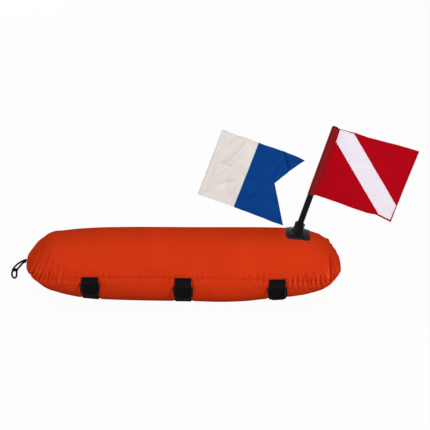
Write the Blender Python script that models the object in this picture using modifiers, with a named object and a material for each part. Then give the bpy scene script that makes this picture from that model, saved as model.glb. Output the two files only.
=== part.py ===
"""Dive flag float: an inflated torpedo float in a nylon cover, with straps, D-rings, a mast and two flags.

Metres, +Z up. The origin is on the floor under the middle strap, +X runs towards the mast, and the
side that carries the D-rings faces -Y.
"""

import math

import bmesh
import bpy
from mathutils import Matrix, Vector

part_name = "dive_flag_float"

# Clearances that several pieces share
seat_gap = 0.0003
cut_overrun = 0.004
weld_distance = 0.00001

# Float body
body_length = 0.9725
middle_strap_share = 0.49871
body_left_reach = body_length * middle_strap_share
body_half_height = 0.1167
body_half_width = 0.1115
belly_squash = 0.006
end_rise = 0.010
cover_cloth = 0.001
seam_gap = 0.0004
pucker_depth = 0.0011
pucker_fade = 0.034
bladder_inset = 0.0055
bladder_wall = 0.0007
bladder_end_gap = 0.012
bladder_rows = 15
bladder_columns = 18

# Place along the body, half height, half width, then the rise of the middle line and of the seam,
# as shares of body_length, body_half_height, body_half_width, end_rise and end_rise again
body_outline_shares = (
    (0.0, 0.0, 0.30, 0.80, 0.80),
    (0.003, 0.11, 0.46, 0.78, 0.60),
    (0.013, 0.225, 0.66, 0.70, 0.10),
    (0.0215, 0.33, 0.74, 0.80, -0.05),
    (0.031, 0.435, 0.826, 0.97, -0.27),
    (0.050, 0.594, 0.887, 1.00, -0.25),
    (0.069, 0.704, 0.935, 1.08, -0.13),
    (0.088, 0.775, 0.958, 1.17, -0.03),
    (0.110, 0.812, 0.98, 0.92, 0.08),
    (0.148, 0.875, 0.99, 0.69, 0.26),
    (0.186, 0.920, 1.0, 0.53, 0.43),
    (0.262, 0.962, 1.0, 0.41, 0.49),
    (0.376, 0.983, 1.0, 0.28, 0.38),
    (0.528, 0.989, 1.0, 0.12, 0.12),
    (0.620, 1.0, 1.0, 0.0, -0.07),
    (0.680, 0.992, 1.0, 0.08, -0.15),
    (0.756, 0.955, 1.0, 0.45, -0.26),
    (0.829, 0.912, 1.0, 0.71, -0.37),
    (0.877, 0.861, 1.0, 0.85, -0.53),
    (0.905, 0.797, 0.984, 0.84, -0.62),
    (0.924, 0.742, 0.966, 0.79, -0.67),
    (0.943, 0.663, 0.926, 0.62, -0.81),
    (0.962, 0.545, 0.883, 0.60, -0.96),
    (0.9715, 0.461, 0.793, 0.58, -0.91),
    (0.981, 0.353, 0.691, 0.36, -0.83),
    (0.9905, 0.220, 0.53, 0.0, -0.72),
    (0.9965, 0.12, 0.40, -0.3, -0.65),
    (1.0, 0.0, 0.28, -0.6, -0.6),
)
end_zone_share = 0.15
end_rows = 11
girth_shares = (0.0, 0.05, 0.16, 0.34, 0.54, 0.74, 0.9, 1.0)

# Straps, their keepers and the D-rings
strap_sides = ("left", "middle", "right")
strap_place_shares = (-0.2941, 0.0, 0.2982)
strap_places = tuple(body_length * share for share in strap_place_shares)
ring_drops = (0.021, 0.029, 0.029)
webbing_width = 0.050
webbing_thickness = 0.002
groove_side = 0.0015
keeper_width = 0.0494
keeper_top = 0.003
keeper_neck = 0.011
ring_wire = 0.005
ring_inner_width = 0.051
ring_drop = 0.0375
ring_top_bend = 0.0032
ring_lower_bend = 0.014

# Zip in the far seam
zip_margin = 0.020
zip_middle = (strap_places[1] + strap_places[2]) / 2
zip_length = strap_places[2] - strap_places[1] - webbing_width - 2 * zip_margin
zip_tape_width = 0.012
zip_tape_thickness = 0.0007
zip_tape_depth = 0.0015
zip_slot = 0.0118
zip_pitch = 0.005
tooth_thickness = 0.0024
tooth_reach = 0.0017
tooth_head = 0.0019
tooth_neck = 0.0011
tooth_foot = 0.0034
tooth_foot_width = 0.0026
zip_stop_length = 0.004
slider_length = 0.012
slider_width = 0.0105
slider_plate = 0.0009
slider_rail = 0.0011
bridge_width = 0.0018
bridge_wall = 0.0010
pull_eye = 0.0019
pull_bar = 0.0012
pull_length = 0.022
pull_width = 0.0056
pull_thickness = 0.0012

# Inflation valve on the far side
valve_place_share = -0.1542
valve_place = body_length * valve_place_share
valve_turn = math.radians(-52)
valve_neck_radius = 0.009
valve_bore_radius = 0.0045
valve_stand = 0.010
valve_depth = 0.0105
valve_flange_radius = 0.015
valve_flange_thickness = 0.0014
valve_patch_half = 0.024
valve_patch_cloth = 0.0009
cap_wall = 0.0016
cap_height = 0.0095
cap_skirt_gap = 0.0012
cap_ribs = 14
cap_rib = 0.0008

# Mast foot and its patch
mast_place_share = 0.36185
mast_place = body_length * mast_place_share
mast_lean = math.radians(18.4)
patch_half_length = 0.035
patch_half_width = 0.047
patch_corner = 0.013
patch_cloth = 0.0012
foot_half_length = 0.0255
foot_half_width = 0.036
foot_corner = 0.011
foot_plate = 0.0025
foot_skirt_radius = 0.0195
foot_skirt_rise = 0.0065
foot_socket_radius = 0.0148
foot_height = 0.0280
foot_collar_radius = 0.0164
foot_collar = 0.0052
foot_collar_chamfer = 0.001
socket_depth = 0.022

# Mast
mast_radius = 0.0095
mast_wall = 0.0018
mast_top = 0.3560
mast_clearance = 0.0003
mast_plug_length = 0.014
mast_plug_flange = 0.0015
mast_cap_dome = 0.0022
round_steps = 32

# Diver flag, measured from the mast foot along the mast and from the mast's middle outwards
flag_cloth = 0.0006
sleeve_cloth = 0.0008
sleeve_tail = 0.0200
flag_foot = 0.1284
flag_hoist = 0.2343
flag_fly = 0.2720
flag_foot_fly = 0.2653
flag_fly_rise = 0.0045
flag_fly_drop = 0.0087
flag_wave = 0.005
flag_hem = 0.0065
stripe_outline_shares = (
    (0.074, 0.803),
    (0.800, 0.010),
    (0.957, -0.026),
    (0.965, 0.200),
    (0.245, 1.004),
    (0.074, 0.990),
)

# Spare flag, with its own hoist line
spare_foot_x = 0.0456
spare_foot_lift = 0.1181
spare_foot_z = 2 * body_half_height - belly_squash + spare_foot_lift
spare_lean = math.radians(19.8)
spare_hoist = 0.2296
spare_fly = 0.2694
spare_foot_fly = 0.2818
spare_white = 0.1180
spare_fly_droop = 0.0145
spare_foot_droop = 0.0080
spare_notch = 0.2091
spare_notch_height = 0.1142
spare_wave = 0.0045
spare_sleeve_band = 0.0185
spare_sleeve_across = 0.0083
spare_sleeve_half = 0.0066

# Cord loop at the left end
cord_thickness = 0.0045
cord_step_share = 1.4
knot_half_length = 0.0092
knot_half_height = 0.0066
knot_half_depth = 0.0060
knot_place = (-0.5210, 0.0, 0.0925)
cord_upper_route = (
    (-0.4846, 0.0, 0.1262),
    (-0.4905, 0.0006, 0.1250),
    (-0.5015, 0.0016, 0.1185),
    (-0.5090, 0.0020, 0.1128),
    (-0.5158, 0.0016, 0.1068),
    (-0.5208, 0.0006, 0.1013),
)
cord_lower_route = (
    (-0.4860, 0.0, 0.1184),
    (-0.4918, -0.0012, 0.1170),
    (-0.4985, -0.0030, 0.1115),
    (-0.5030, -0.0036, 0.1060),
    (-0.5076, -0.0028, 0.1002),
    (-0.5118, -0.0016, 0.0950),
)
cord_eye_route = (
    (-0.5266, 0.0, 0.0862),
    (-0.5286, 0.0004, 0.0800),
    (-0.5280, 0.0010, 0.0730),
    (-0.5250, 0.0012, 0.0672),
    (-0.5208, 0.0010, 0.0650),
    (-0.5168, 0.0006, 0.0680),
    (-0.5146, 0.0000, 0.0740),
    (-0.5142, -0.0004, 0.0802),
    (-0.5160, -0.0004, 0.0858),
)

shade_angle = math.radians(35)


def clear_scene():
    for item in list(bpy.data.objects):
        bpy.data.objects.remove(item)


def new_collection(name):
    group = bpy.data.collections.new(name)
    bpy.context.scene.collection.children.link(group)
    return group


def finish(name, colour, roughness, metallic=0.0):
    """A plain Principled material, or the one of that name."""
    found = bpy.data.materials.get(name)
    if found:
        return found
    made = bpy.data.materials.new(name)
    made.use_nodes = True
    shader = made.node_tree.nodes["Principled BSDF"]
    shader.inputs["Base Color"].default_value = (*colour, 1.0)
    shader.inputs["Roughness"].default_value = roughness
    shader.inputs["Metallic"].default_value = metallic
    made.diffuse_color = (*colour, 1.0)
    return made


def cover_nylon():
    return finish("cover_nylon", (0.58, 0.033, 0.007), 0.55)


def black_webbing():
    return finish("black_webbing", (0.008, 0.007, 0.009), 0.75)


def black_plastic():
    return finish("black_plastic", (0.010, 0.009, 0.010), 0.42)


def black_rubber():
    return finish("black_rubber", (0.026, 0.026, 0.029), 0.6)


def bladder_film():
    return finish("bladder_film", (0.30, 0.31, 0.32), 0.4)


def flag_red():
    return finish("flag_red", (0.43, 0.002, 0.006), 0.6)


def flag_white():
    return finish("flag_white", (0.75, 0.72, 0.70), 0.6)


def flag_blue():
    return finish("flag_blue", (0.006, 0.045, 0.21), 0.6)


def slider_metal():
    return finish("slider_metal", (0.09, 0.09, 0.095), 0.38, 0.9)


# Making objects


def add_object(name, data, group, material):
    made = bpy.data.objects.new(name, data)
    group.objects.link(made)
    if material:
        data.materials.append(material)
    return made


def smooth(data):
    data.shade_smooth()
    data.set_sharp_from_angle(angle=shade_angle)


def mesh_object(name, points, faces, material, group):
    data = bpy.data.meshes.new(name)
    data.from_pydata([tuple(p) for p in points], [], faces)
    data.update()
    smooth(data)
    return add_object(name, data, group, material)


def frame_matrix(origin, x_axis, z_axis):
    """A placement whose local Z runs along z_axis and whose local X lies near x_axis."""
    up = Vector(z_axis).normalized()
    along = (Vector(x_axis) - up * up.dot(Vector(x_axis))).normalized()
    across = up.cross(along)
    turned = Matrix((along, across, up)).transposed().to_4x4()
    return Matrix.Translation(Vector(origin)) @ turned


def turned(name, profile, place, material, group, closed=False, steps=round_steps):
    """A turned solid: the profile's (radius, height) points go down the outside, then up the inside."""
    data = bpy.data.meshes.new(name)
    edges = [(i, i + 1) for i in range(len(profile) - 1)]
    if closed:
        edges.append((len(profile) - 1, 0))
    data.from_pydata([(r, 0.0, h) for r, h in profile], edges, [])
    made = add_object(name, data, group, material)
    made.matrix_world = place
    screw = made.modifiers.new("turn", "SCREW")
    screw.axis = "Z"
    screw.angle = math.tau
    screw.steps = steps
    screw.render_steps = steps
    screw.use_merge_vertices = True
    screw.merge_threshold = weld_distance
    screw.use_smooth_shade = True
    return made


def tube(name, points, radius, material, group, cyclic=False, resolution=2):
    """A round wire or cord along the points."""
    data = bpy.data.curves.new(name, "CURVE")
    data.dimensions = "3D"
    data.bevel_depth = radius
    data.bevel_resolution = resolution
    data.use_fill_caps = True
    line = data.splines.new("POLY")
    line.points.add(len(points) - 1)
    for spot, point in zip(line.points, points):
        spot.co = (*point, 1.0)
    line.use_cyclic_u = cyclic
    return add_object(name, data, group, material)


def cut_sheet(name, outlines, thickness, place, material, group):
    """A flat outline with its holes, extruded to both sides of its plane."""
    data = bpy.data.curves.new(name, "CURVE")
    data.dimensions = "2D"
    data.fill_mode = "BOTH"
    data.extrude = thickness / 2
    for outline in outlines:
        line = data.splines.new("POLY")
        line.points.add(len(outline) - 1)
        for spot, (across, up) in zip(line.points, outline):
            spot.co = (across, up, 0.0, 1.0)
        line.use_cyclic_u = True
    made = add_object(name, data, group, material)
    made.matrix_world = place
    return made


def as_mesh(item):
    """The object again as a welded mesh, so that a Boolean can use it."""
    bpy.context.view_layer.update()
    graph = bpy.context.evaluated_depsgraph_get()
    data = bpy.data.meshes.new_from_object(item.evaluated_get(graph))
    work = bmesh.new()
    work.from_mesh(data)
    bmesh.ops.remove_doubles(work, verts=work.verts, dist=weld_distance)
    work.to_mesh(data)
    work.free()
    name = item.name
    place = item.matrix_world.copy()
    group = item.users_collection[0]
    bpy.data.objects.remove(item)
    data.name = name
    made = bpy.data.objects.new(name, data)
    made.matrix_world = place
    group.objects.link(made)
    return made


def combine(item, tool, operation, tools):
    """Cuts or joins item with tool, which moves to the cutters."""
    for group in list(tool.users_collection):
        group.objects.unlink(tool)
    tools.objects.link(tool)
    tool.hide_render = True
    tool.display_type = "WIRE"
    step = item.modifiers.new(f"{operation.lower()}_{tool.name}", "BOOLEAN")
    step.operation = operation
    step.object = tool
    return item


def arc(centre, radius, start, end, steps):
    """Points on an arc in a plane, from the angle start to the angle end."""
    spots = []
    for i in range(steps + 1):
        angle = start + (end - start) * i / steps
        spots.append((centre[0] + radius * math.cos(angle), centre[1] + radius * math.sin(angle)))
    return spots


def rounded_rectangle(half_x, half_y, corner, steps=5):
    outline = []
    for turn, (side_x, side_y) in enumerate(((1, 1), (-1, 1), (-1, -1), (1, -1))):
        centre = (side_x * (half_x - corner), side_y * (half_y - corner))
        start = turn * math.pi / 2
        outline += arc(centre, corner, start, start + math.pi / 2, steps)
    return outline


def inset_outline(outline, inset):
    """The outline, which runs anticlockwise, moved inwards by the same distance along each edge."""
    moved = []
    count = len(outline)
    for i in range(count):
        before = Vector(outline[i - 1])
        here = Vector(outline[i])
        after = Vector(outline[(i + 1) % count])
        first = (here - before).normalized()
        second = (after - here).normalized()
        first_in = Vector((-first.y, first.x))
        second_in = Vector((-second.y, second.x))
        middle = (first_in + second_in).normalized()
        moved.append(tuple(here + middle * inset / middle.dot(first_in)))
    return moved


def laid_sheet(name, outline, spacing, place, thickness, side, material, group):
    """An outline in a plane, cut into cells about spacing wide, carried by place(u, v) to its surface
    and given its thickness to one side (1), the other (-1) or both (0)."""
    work = bmesh.new()
    corners = [work.verts.new((u, v, 0.0)) for u, v in outline]
    work.faces.new(corners)
    for axis in (0, 1):
        low = min(point[axis] for point in outline)
        high = max(point[axis] for point in outline)
        cells = max(1, round((high - low) / spacing))
        normal = (1.0, 0.0, 0.0) if axis == 0 else (0.0, 1.0, 0.0)
        for i in range(1, cells):
            spot = [0.0, 0.0, 0.0]
            spot[axis] = low + (high - low) * i / cells
            parts = work.verts[:] + work.edges[:] + work.faces[:]
            bmesh.ops.bisect_plane(work, geom=parts, dist=weld_distance, plane_co=spot, plane_no=normal)
    bmesh.ops.triangulate(work, faces=work.faces[:])
    for vertex in work.verts:
        vertex.co = place(vertex.co.x, vertex.co.y)
    data = bpy.data.meshes.new(name)
    work.to_mesh(data)
    work.free()
    smooth(data)
    made = add_object(name, data, group, material)
    wall = made.modifiers.new("cloth", "SOLIDIFY")
    wall.thickness = thickness
    wall.offset = side
    wall.use_even_offset = True
    return made


# The float's surface


def smooth_share(along, column):
    """The value of one column of body_outline_shares at a place along the body, on a smooth curve
    that never overshoots its points."""
    rows = body_outline_shares
    last = len(rows) - 1
    here = min(max(along, rows[0][0]), rows[last][0])
    index = 0
    while index < last - 1 and here > rows[index + 1][0]:
        index += 1

    def slope(i):
        return (rows[i + 1][column] - rows[i][column]) / (rows[i + 1][0] - rows[i][0])

    def tangent(i):
        if i == 0:
            return slope(0)
        if i == last:
            return slope(last - 1)
        before = slope(i - 1)
        after = slope(i)
        if before * after <= 0:
            return 0.0
        return 2 * before * after / (before + after)

    run = rows[index + 1][0] - rows[index][0]
    part = (here - rows[index][0]) / run
    start = rows[index][column]
    end = rows[index + 1][column]
    rest = 1 - part
    return (
        (1 + 2 * part) * rest**2 * start
        + part * rest**2 * run * tangent(index)
        + part**2 * (3 - 2 * part) * end
        - part**2 * rest * run * tangent(index + 1)
    )


def place_of(share):
    return share * body_length - body_left_reach


def section(x):
    """Half height, half width, height of the middle and height of the seam at x."""
    along = (x + body_left_reach) / body_length
    base = body_half_height - belly_squash
    return (
        body_half_height * smooth_share(along, 1),
        body_half_width * smooth_share(along, 2),
        base + end_rise * smooth_share(along, 3),
        base + end_rise * smooth_share(along, 4),
    )


def seam_turn(x):
    """The angle from the top to the seam at x, on either side."""
    half_height, _, middle, seam = section(x)
    if half_height < cover_cloth:
        return math.pi / 2
    return math.acos(min(max((seam - middle) / half_height, -0.85), 0.85))


def pucker(x, turn, ripple):
    """How far the cover stands in or out beside the seam, in a row where ripple is -1, 0 or 1."""
    reach = abs(abs(turn) - seam_turn(x)) * body_half_width
    return ripple * pucker_depth * math.exp(-((reach / pucker_fade) ** 2))


def skin(x, turn, inset=0.0, ripple=0):
    """A point on the cover's outside. turn is measured from the top, positive towards -Y."""
    half_height, half_width, middle, _ = section(x)
    inwards = inset - pucker(x, turn, ripple)
    y = -max(half_width - inwards, 0.0) * math.sin(turn)
    z = middle + max(half_height - inwards, 0.0) * math.cos(turn)
    return Vector((x, y, max(z, max(inset, 0.0))))


def skin_normal(x, turn):
    step = cover_cloth
    along = skin(x + step, turn) - skin(x - step, turn)
    turn_step = step / body_half_width
    around = skin(x, turn + turn_step) - skin(x, turn - turn_step)
    return around.cross(along).normalized()


def on_skin(x, turn, lift):
    return skin(x, turn) + skin_normal(x, turn) * lift


def groove_depth():
    return webbing_thickness + seat_gap


def strap_rows():
    """Rows of the cover at each strap: the groove's outer and inner edges on both sides."""
    inner = webbing_width / 2 + seat_gap
    outer = inner + groove_side
    rows = []
    for middle in strap_places:
        rows += [middle - outer, middle - inner, middle + inner, middle + outer]
    return rows


def in_groove(x):
    reach = webbing_width / 2 + seat_gap + weld_distance
    return any(abs(x - middle) <= reach for middle in strap_places)


def end_places():
    """The rows of one end zone, as shares of the length, closer together near the tip."""
    return [end_zone_share * (1 - math.cos(i / end_rows * math.pi / 2)) for i in range(end_rows + 1)]


def cover_rows():
    """The cover's rows as (x, ripple), from the left tip to the right."""
    shares = end_places()
    left = [(place_of(share), 0 if i in (0, end_rows) else (-1) ** i) for i, share in enumerate(shares)]
    right = [(place_of(1 - share), ripple) for share, (_, ripple) in zip(shares, left)]
    slot = slot_half_length()
    between = [
        (strap_places[0] * 2 + strap_places[1]) / 3,
        (strap_places[0] + strap_places[1] * 2) / 3,
        zip_middle - slot - zip_stop_length,
        zip_middle - slot,
        zip_middle,
        zip_middle + slot,
        zip_middle + slot + zip_stop_length,
    ]
    middle = [(x, 0) for x in strap_rows() + between]
    return sorted(left + middle + right)


def panel_turns(x, upper):
    """The angles of a panel's columns, growing from one seam to the other."""
    seam = seam_turn(x)
    if upper:
        half = [seam * (share - 1) for share in girth_shares]
        return half + [-turn for turn in reversed(half[:-1])]
    half = [seam + share * (math.pi - seam) for share in girth_shares]
    return half + [math.tau - turn for turn in reversed(half[:-1])]


def slot_half_length():
    """Half the length of the slot that shows the zip and its stops."""
    return zip_length / 2 + zip_stop_length + 2 * seat_gap


def far_edge(x):
    """Half the opening between the panels in the far seam."""
    inside = abs(x - zip_middle) <= slot_half_length() + weld_distance
    return zip_slot / 2 if inside else seam_gap / 2


def grid_normals(rows):
    """The outward normal at each point of a grid, from its neighbours."""
    last_row = len(rows) - 1
    last_column = len(rows[0]) - 1
    normals = []
    for r, row in enumerate(rows):
        line = []
        for c in range(len(row)):
            along = rows[min(r + 1, last_row)][c] - rows[max(r - 1, 0)][c]
            around = row[min(c + 1, last_column)] - row[max(c - 1, 0)]
            line.append(around.cross(along).normalized())
        normals.append(line)
    return normals


def shell(name, rows, thickness, hold, material, group):
    """A wall of even thickness behind a grid of points, kept by hold(point, row) on its own side of
    the seams. The grid has a row for each place along the float and a column for each angle."""
    normals = grid_normals(rows)
    columns = len(rows[0])
    outer = []
    inner = []
    for r, row in enumerate(rows):
        for c, point in enumerate(row):
            outer.append(hold(point.copy(), r))
            inner.append(hold(point - normals[r][c] * thickness, r))
    offset = len(outer)
    faces = []
    for r in range(len(rows) - 1):
        for c in range(columns - 1):
            a = r * columns + c
            b = a + 1
            d = a + columns
            e = d + 1
            faces.append((a, b, e, d))
            faces.append((a + offset, d + offset, e + offset, b + offset))
    rim = [c for c in range(columns)]
    rim += [r * columns + columns - 1 for r in range(1, len(rows))]
    rim += [(len(rows) - 1) * columns + c for c in range(columns - 2, -1, -1)]
    rim += [r * columns for r in range(len(rows) - 2, 0, -1)]
    for here, after in zip(rim, rim[1:] + rim[:1]):
        faces.append((after, here, here + offset, after + offset))
    return mesh_object(name, outer + inner, faces, material, group)


def cover_panel(name, upper, group):
    """One panel of the cover. The belly panel is pressed in under the straps and flat on the floor."""
    rows = cover_rows()
    grid = []
    for x, ripple in rows:
        inset = groove_depth() if in_groove(x) and not upper else 0.0
        grid.append([skin(x, turn, inset, ripple) for turn in panel_turns(x, upper)])

    def hold(point, row):
        x = rows[row][0]
        seam = section(x)[3]
        edge = far_edge(x) if point.y > 0 else seam_gap / 2
        if upper:
            point.z = max(point.z, seam + edge)
        else:
            point.z = min(point.z, seam - edge)
        return point

    return shell(name, grid, cover_cloth, hold, cover_nylon(), group)


def bladder(group, tools):
    """The inflatable bladder, with the opening that its valve sits in."""
    first = bladder_end_gap - body_left_reach
    last = body_length - body_left_reach - bladder_end_gap
    points = []
    for i in range(bladder_rows + 1):
        x = first + (last - first) * (1 - math.cos(i / bladder_rows * math.pi)) / 2
        turns = [math.tau * k / bladder_columns for k in range(bladder_columns)]
        points += [skin(x, turn, bladder_inset) for turn in turns]
    faces = []
    for i in range(bladder_rows):
        for k in range(bladder_columns):
            a = i * bladder_columns + k
            b = i * bladder_columns + (k + 1) % bladder_columns
            faces.append((a, b, b + bladder_columns, a + bladder_columns))
    faces.append(tuple(reversed(range(bladder_columns))))
    faces.append(tuple(bladder_rows * bladder_columns + k for k in range(bladder_columns)))
    made = mesh_object("bladder", points, faces, bladder_film(), group)
    film = made.modifiers.new("film", "SOLIDIFY")
    film.thickness = bladder_wall
    film.offset = -1
    film.use_even_offset = True
    hole = valve_drill("bladder_hole", valve_neck_radius + seat_gap, tools)
    return combine(as_mesh(made), hole, "DIFFERENCE", tools)


# Straps, keepers and rings


def strap(name, middle, group):
    """Webbing from the seam under the belly to the far seam, pressed into the cover."""
    half = webbing_width / 2
    rows = [middle - half, middle, middle + half]
    grid = [[skin(x, turn) for turn in panel_turns(x, False)] for x in rows]

    def hold(point, row):
        point.z = min(point.z, section(rows[row])[3] - seam_gap / 2)
        return point

    return shell(name, grid, webbing_thickness, hold, black_webbing(), group)


def ring_bar(middle, drop):
    """The angle of a ring's bar, and its frame: X along the bar, Z upwards."""
    turn = seam_turn(middle) + drop / body_half_width
    half = webbing_width / 2
    along = skin(middle + half, turn) - skin(middle - half, turn)
    upwards = along.cross(Vector((0.0, 1.0, 0.0)))
    centre = on_skin(middle, turn, 2 * seat_gap + webbing_thickness + ring_wire / 2)
    return turn, frame_matrix(centre, along, upwards)


def keeper(name, middle, drop, group):
    """Webbing folded round the ring's bar and sewn flat below the seam."""
    turn, bar = ring_bar(middle, drop)
    place = bar @ Matrix.Rotation(math.pi / 2, 4, "Y") @ Matrix.Rotation(math.pi / 2, 4, "Z")
    into = place.inverted()
    eye = ring_wire / 2 + seat_gap
    loop = eye + webbing_thickness
    top = seam_turn(middle) + keeper_top / body_half_width
    neck = turn - keeper_neck / body_half_width

    def spot(angle, lift):
        point = into @ on_skin(middle, angle, lift)
        return (point.x, point.y)

    outward = math.atan2(spot(turn, body_half_width)[1], spot(turn, body_half_width)[0])
    flat = 2 * webbing_thickness + seat_gap
    outline = [spot(top + (turn - top) * i / 3, seat_gap) for i in range(4)]
    outline += arc((0.0, 0.0), loop, outward + math.pi, outward, 10)[1:]
    outline += [spot(neck, flat), spot((neck + top) / 2, flat), spot(top, flat)]
    hole = arc((0.0, 0.0), eye, 0.0, math.tau, 16)[:-1]
    return cut_sheet(name, (outline, hole), keeper_width, place, black_webbing(), group)


def d_ring(name, middle, drop, group):
    """A moulded D-ring that hangs from its bar. Its origin is on the bar's axis."""
    _, bar = ring_bar(middle, drop)
    half = (ring_inner_width + ring_wire) / 2
    top = ring_top_bend
    low = ring_lower_bend
    outline = arc((half - top, -top), top, math.pi / 2, 0.0, 3)
    outline += arc((half - low, low - ring_drop), low, 0.0, -math.pi / 2, 5)
    outline += arc((low - half, low - ring_drop), low, -math.pi / 2, -math.pi, 5)
    outline += arc((top - half, -top), top, math.pi, math.pi / 2, 3)
    points = [(u, 0.0, v) for u, v in outline]
    made = tube(name, points, ring_wire / 2, black_plastic(), group, cyclic=True)
    made.matrix_world = bar
    return made


# Zip


def zip_frame():
    """The zip's closing line: its origin at the left end in the middle of the tapes, X along the zip
    and Z away from the float."""
    start = zip_middle - zip_length / 2
    end = zip_middle + zip_length / 2
    rise = section(end)[3] - section(start)[3]
    y = body_half_width - zip_tape_depth - zip_tape_thickness / 2
    return frame_matrix((start, y, section(start)[3]), (zip_length, 0.0, rise), (0.0, 1.0, 0.0))


def zip_tape(name, side, group, tools):
    """One tape of the zip with its moulded teeth, above (1) or below (-1) the closing line."""
    frame = zip_frame()
    inner = tooth_reach + seat_gap

    def place(u, v):
        spot = frame @ Vector((u, 0.0, 0.0))
        half_height, _, middle, _ = section(spot.x)
        turn = math.acos((spot.z + v - middle) / half_height)
        return on_skin(spot.x, -turn, -zip_tape_depth)

    near = side * (inner + tooth_foot) / 2
    far = side * zip_tape_width
    outline = [(0.0, near), (zip_length, near), (zip_length, far), (0.0, far)]
    if side < 0:
        outline.reverse()
    tape = laid_sheet(name, outline, zip_length / 8, place, zip_tape_thickness, 1, black_webbing(), group)
    count = int(zip_length / zip_pitch) - 1
    shift = 0.0 if side > 0 else zip_pitch / 2
    lines = []
    for i in range(count):
        x = zip_pitch / 2 + i * zip_pitch + shift
        tooth = [
            (tooth_head, tooth_reach),
            (tooth_neck, -inner),
            (tooth_foot_width, -inner),
            (tooth_foot_width, -tooth_foot),
        ]
        outline = [(x + width / 2, side * y) for width, y in tooth]
        outline += [(x - width / 2, side * y) for width, y in reversed(tooth)]
        lines.append(outline)
    teeth = cut_sheet(f"{name}_teeth", lines, tooth_thickness, frame, None, group)
    return combine(as_mesh(tape), as_mesh(teeth), "UNION", tools)


def block(name, size, place, material, group):
    """A block with its edges taken off, centred on place."""
    work = bmesh.new()
    bmesh.ops.create_cube(work, size=1.0)
    bmesh.ops.scale(work, vec=size, verts=work.verts)
    bmesh.ops.bevel(work, geom=work.edges[:], offset=min(size) / 5, segments=1, affect="EDGES")
    data = bpy.data.meshes.new(name)
    work.to_mesh(data)
    work.free()
    smooth(data)
    made = add_object(name, data, group, material)
    made.matrix_world = place
    return made


def zip_stop(name, end, group):
    """The moulded block that closes one end of the zip."""
    beyond = zip_stop_length / 2 + seat_gap
    x = zip_length + beyond if end > 0 else -beyond
    size = (zip_stop_length, 2 * tooth_foot, tooth_thickness)
    place = zip_frame() @ Matrix.Translation((x, 0.0, 0.0))
    return block(name, size, place, black_plastic(), group)


def slider_frame():
    """The middle of the underside of the slider's face plate, with the slider at the zip's left end."""
    lift = tooth_thickness / 2 + seat_gap
    return zip_frame() @ Matrix.Translation((slider_length / 2 + seat_gap, 0.0, lift))


def pull_frame():
    """The axis of the pull's bar under the slider's bridge: Y away from the float, Z along the axis."""
    shift = Matrix.Translation((-slider_length / 6, 0.0, slider_plate + pull_eye / 2))
    return slider_frame() @ shift @ Matrix.Rotation(math.pi / 2, 4, "X")


def bridge_outline():
    """The bridge seen across the zip, about the bar's axis, with its feet sunk in the face plate."""
    inner = pull_eye / 2
    outer = inner + bridge_wall
    foot = -inner - slider_plate / 2
    return [
        (-inner, foot),
        (-outer, foot),
        (-outer, outer),
        (outer, outer),
        (outer, foot),
        (inner, foot),
        (inner, inner),
        (-inner, inner),
    ]


def zip_slider(group, tools):
    """The slider: a face plate, two rails beside the teeth and a bridge for the pull."""
    outline = rounded_rectangle(slider_length / 2, slider_width / 2, slider_width / 4, 3)
    plate = slider_frame() @ Matrix.Translation((0.0, 0.0, slider_plate / 2))
    made = as_mesh(cut_sheet("zip_slider", (outline,), slider_plate, plate, slider_metal(), group))
    drop = (tooth_thickness - zip_tape_thickness) / 2
    height = drop + slider_plate / 2
    for side in (1, -1):
        across = side * (slider_width - slider_rail) / 2
        place = slider_frame() @ Matrix.Translation((0.0, across, slider_plate / 2 - height / 2))
        size = (slider_length * 0.7, slider_rail, height)
        made = combine(made, block(f"slider_rail_{side}", size, place, None, group), "UNION", tools)
    bridge = cut_sheet("slider_bridge", (bridge_outline(),), bridge_width, pull_frame(), None, group)
    return combine(made, as_mesh(bridge), "UNION", tools)


def zip_pull(group):
    """The pull tab, whose end bar turns under the slider's bridge."""
    half = pull_width / 2
    shift = pull_length / 2 - pull_bar / 2
    tab = [(u + shift, v) for u, v in rounded_rectangle(pull_length / 2, half, half / 2, 3)]
    window_half = bridge_width / 2 + seat_gap
    far = math.hypot(1.0, 1.0) * (pull_eye / 2 + bridge_wall) + seat_gap
    near = pull_bar / 2
    window = [(near, -window_half), (far, -window_half), (far, window_half), (near, window_half)]
    place = pull_frame() @ Matrix.Rotation(math.pi / 2, 4, "X")
    return cut_sheet("zip_pull", (tab, window), pull_thickness, place, slider_metal(), group)


# Valve


def valve_frame():
    origin = skin(valve_place, valve_turn)
    return frame_matrix(origin, (1.0, 0.0, 0.0), skin_normal(valve_place, valve_turn))


def valve_drill(name, radius, tools):
    long = valve_depth + cut_overrun
    profile = ((0.0, long), (radius, long), (radius, -long), (0.0, -long))
    return turned(name, profile, valve_frame(), None, tools)


def valve_patch(group, tools):
    """The round reinforcement sewn on the cover about the valve's opening."""
    def place(u, v):
        return on_skin(valve_place + u, valve_turn - v / body_half_width, seat_gap)

    outline = arc((0.0, 0.0), valve_patch_half, 0.0, math.tau, 24)[:-1]
    made = laid_sheet(
        "valve_patch", outline, valve_patch_half / 3, place, valve_patch_cloth, 1, cover_nylon(), group
    )
    hole = valve_drill("valve_patch_hole", valve_neck_radius + seat_gap, tools)
    return combine(as_mesh(made), hole, "DIFFERENCE", tools)


def valve_body(group):
    """The valve's neck, from the flange welded inside the bladder to its mouth."""
    neck = valve_neck_radius
    bore = valve_bore_radius
    edge = (neck - bore) / 4
    profile = (
        (bore + edge, valve_stand),
        (neck - edge, valve_stand),
        (neck, valve_stand - edge),
        (neck, valve_flange_thickness - valve_depth),
        (valve_flange_radius, valve_flange_thickness - valve_depth),
        (valve_flange_radius, -valve_depth),
        (bore, -valve_depth),
        (bore, valve_stand - edge),
    )
    return turned("valve_body", profile, valve_frame(), black_plastic(), group, closed=True, steps=24)


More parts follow.
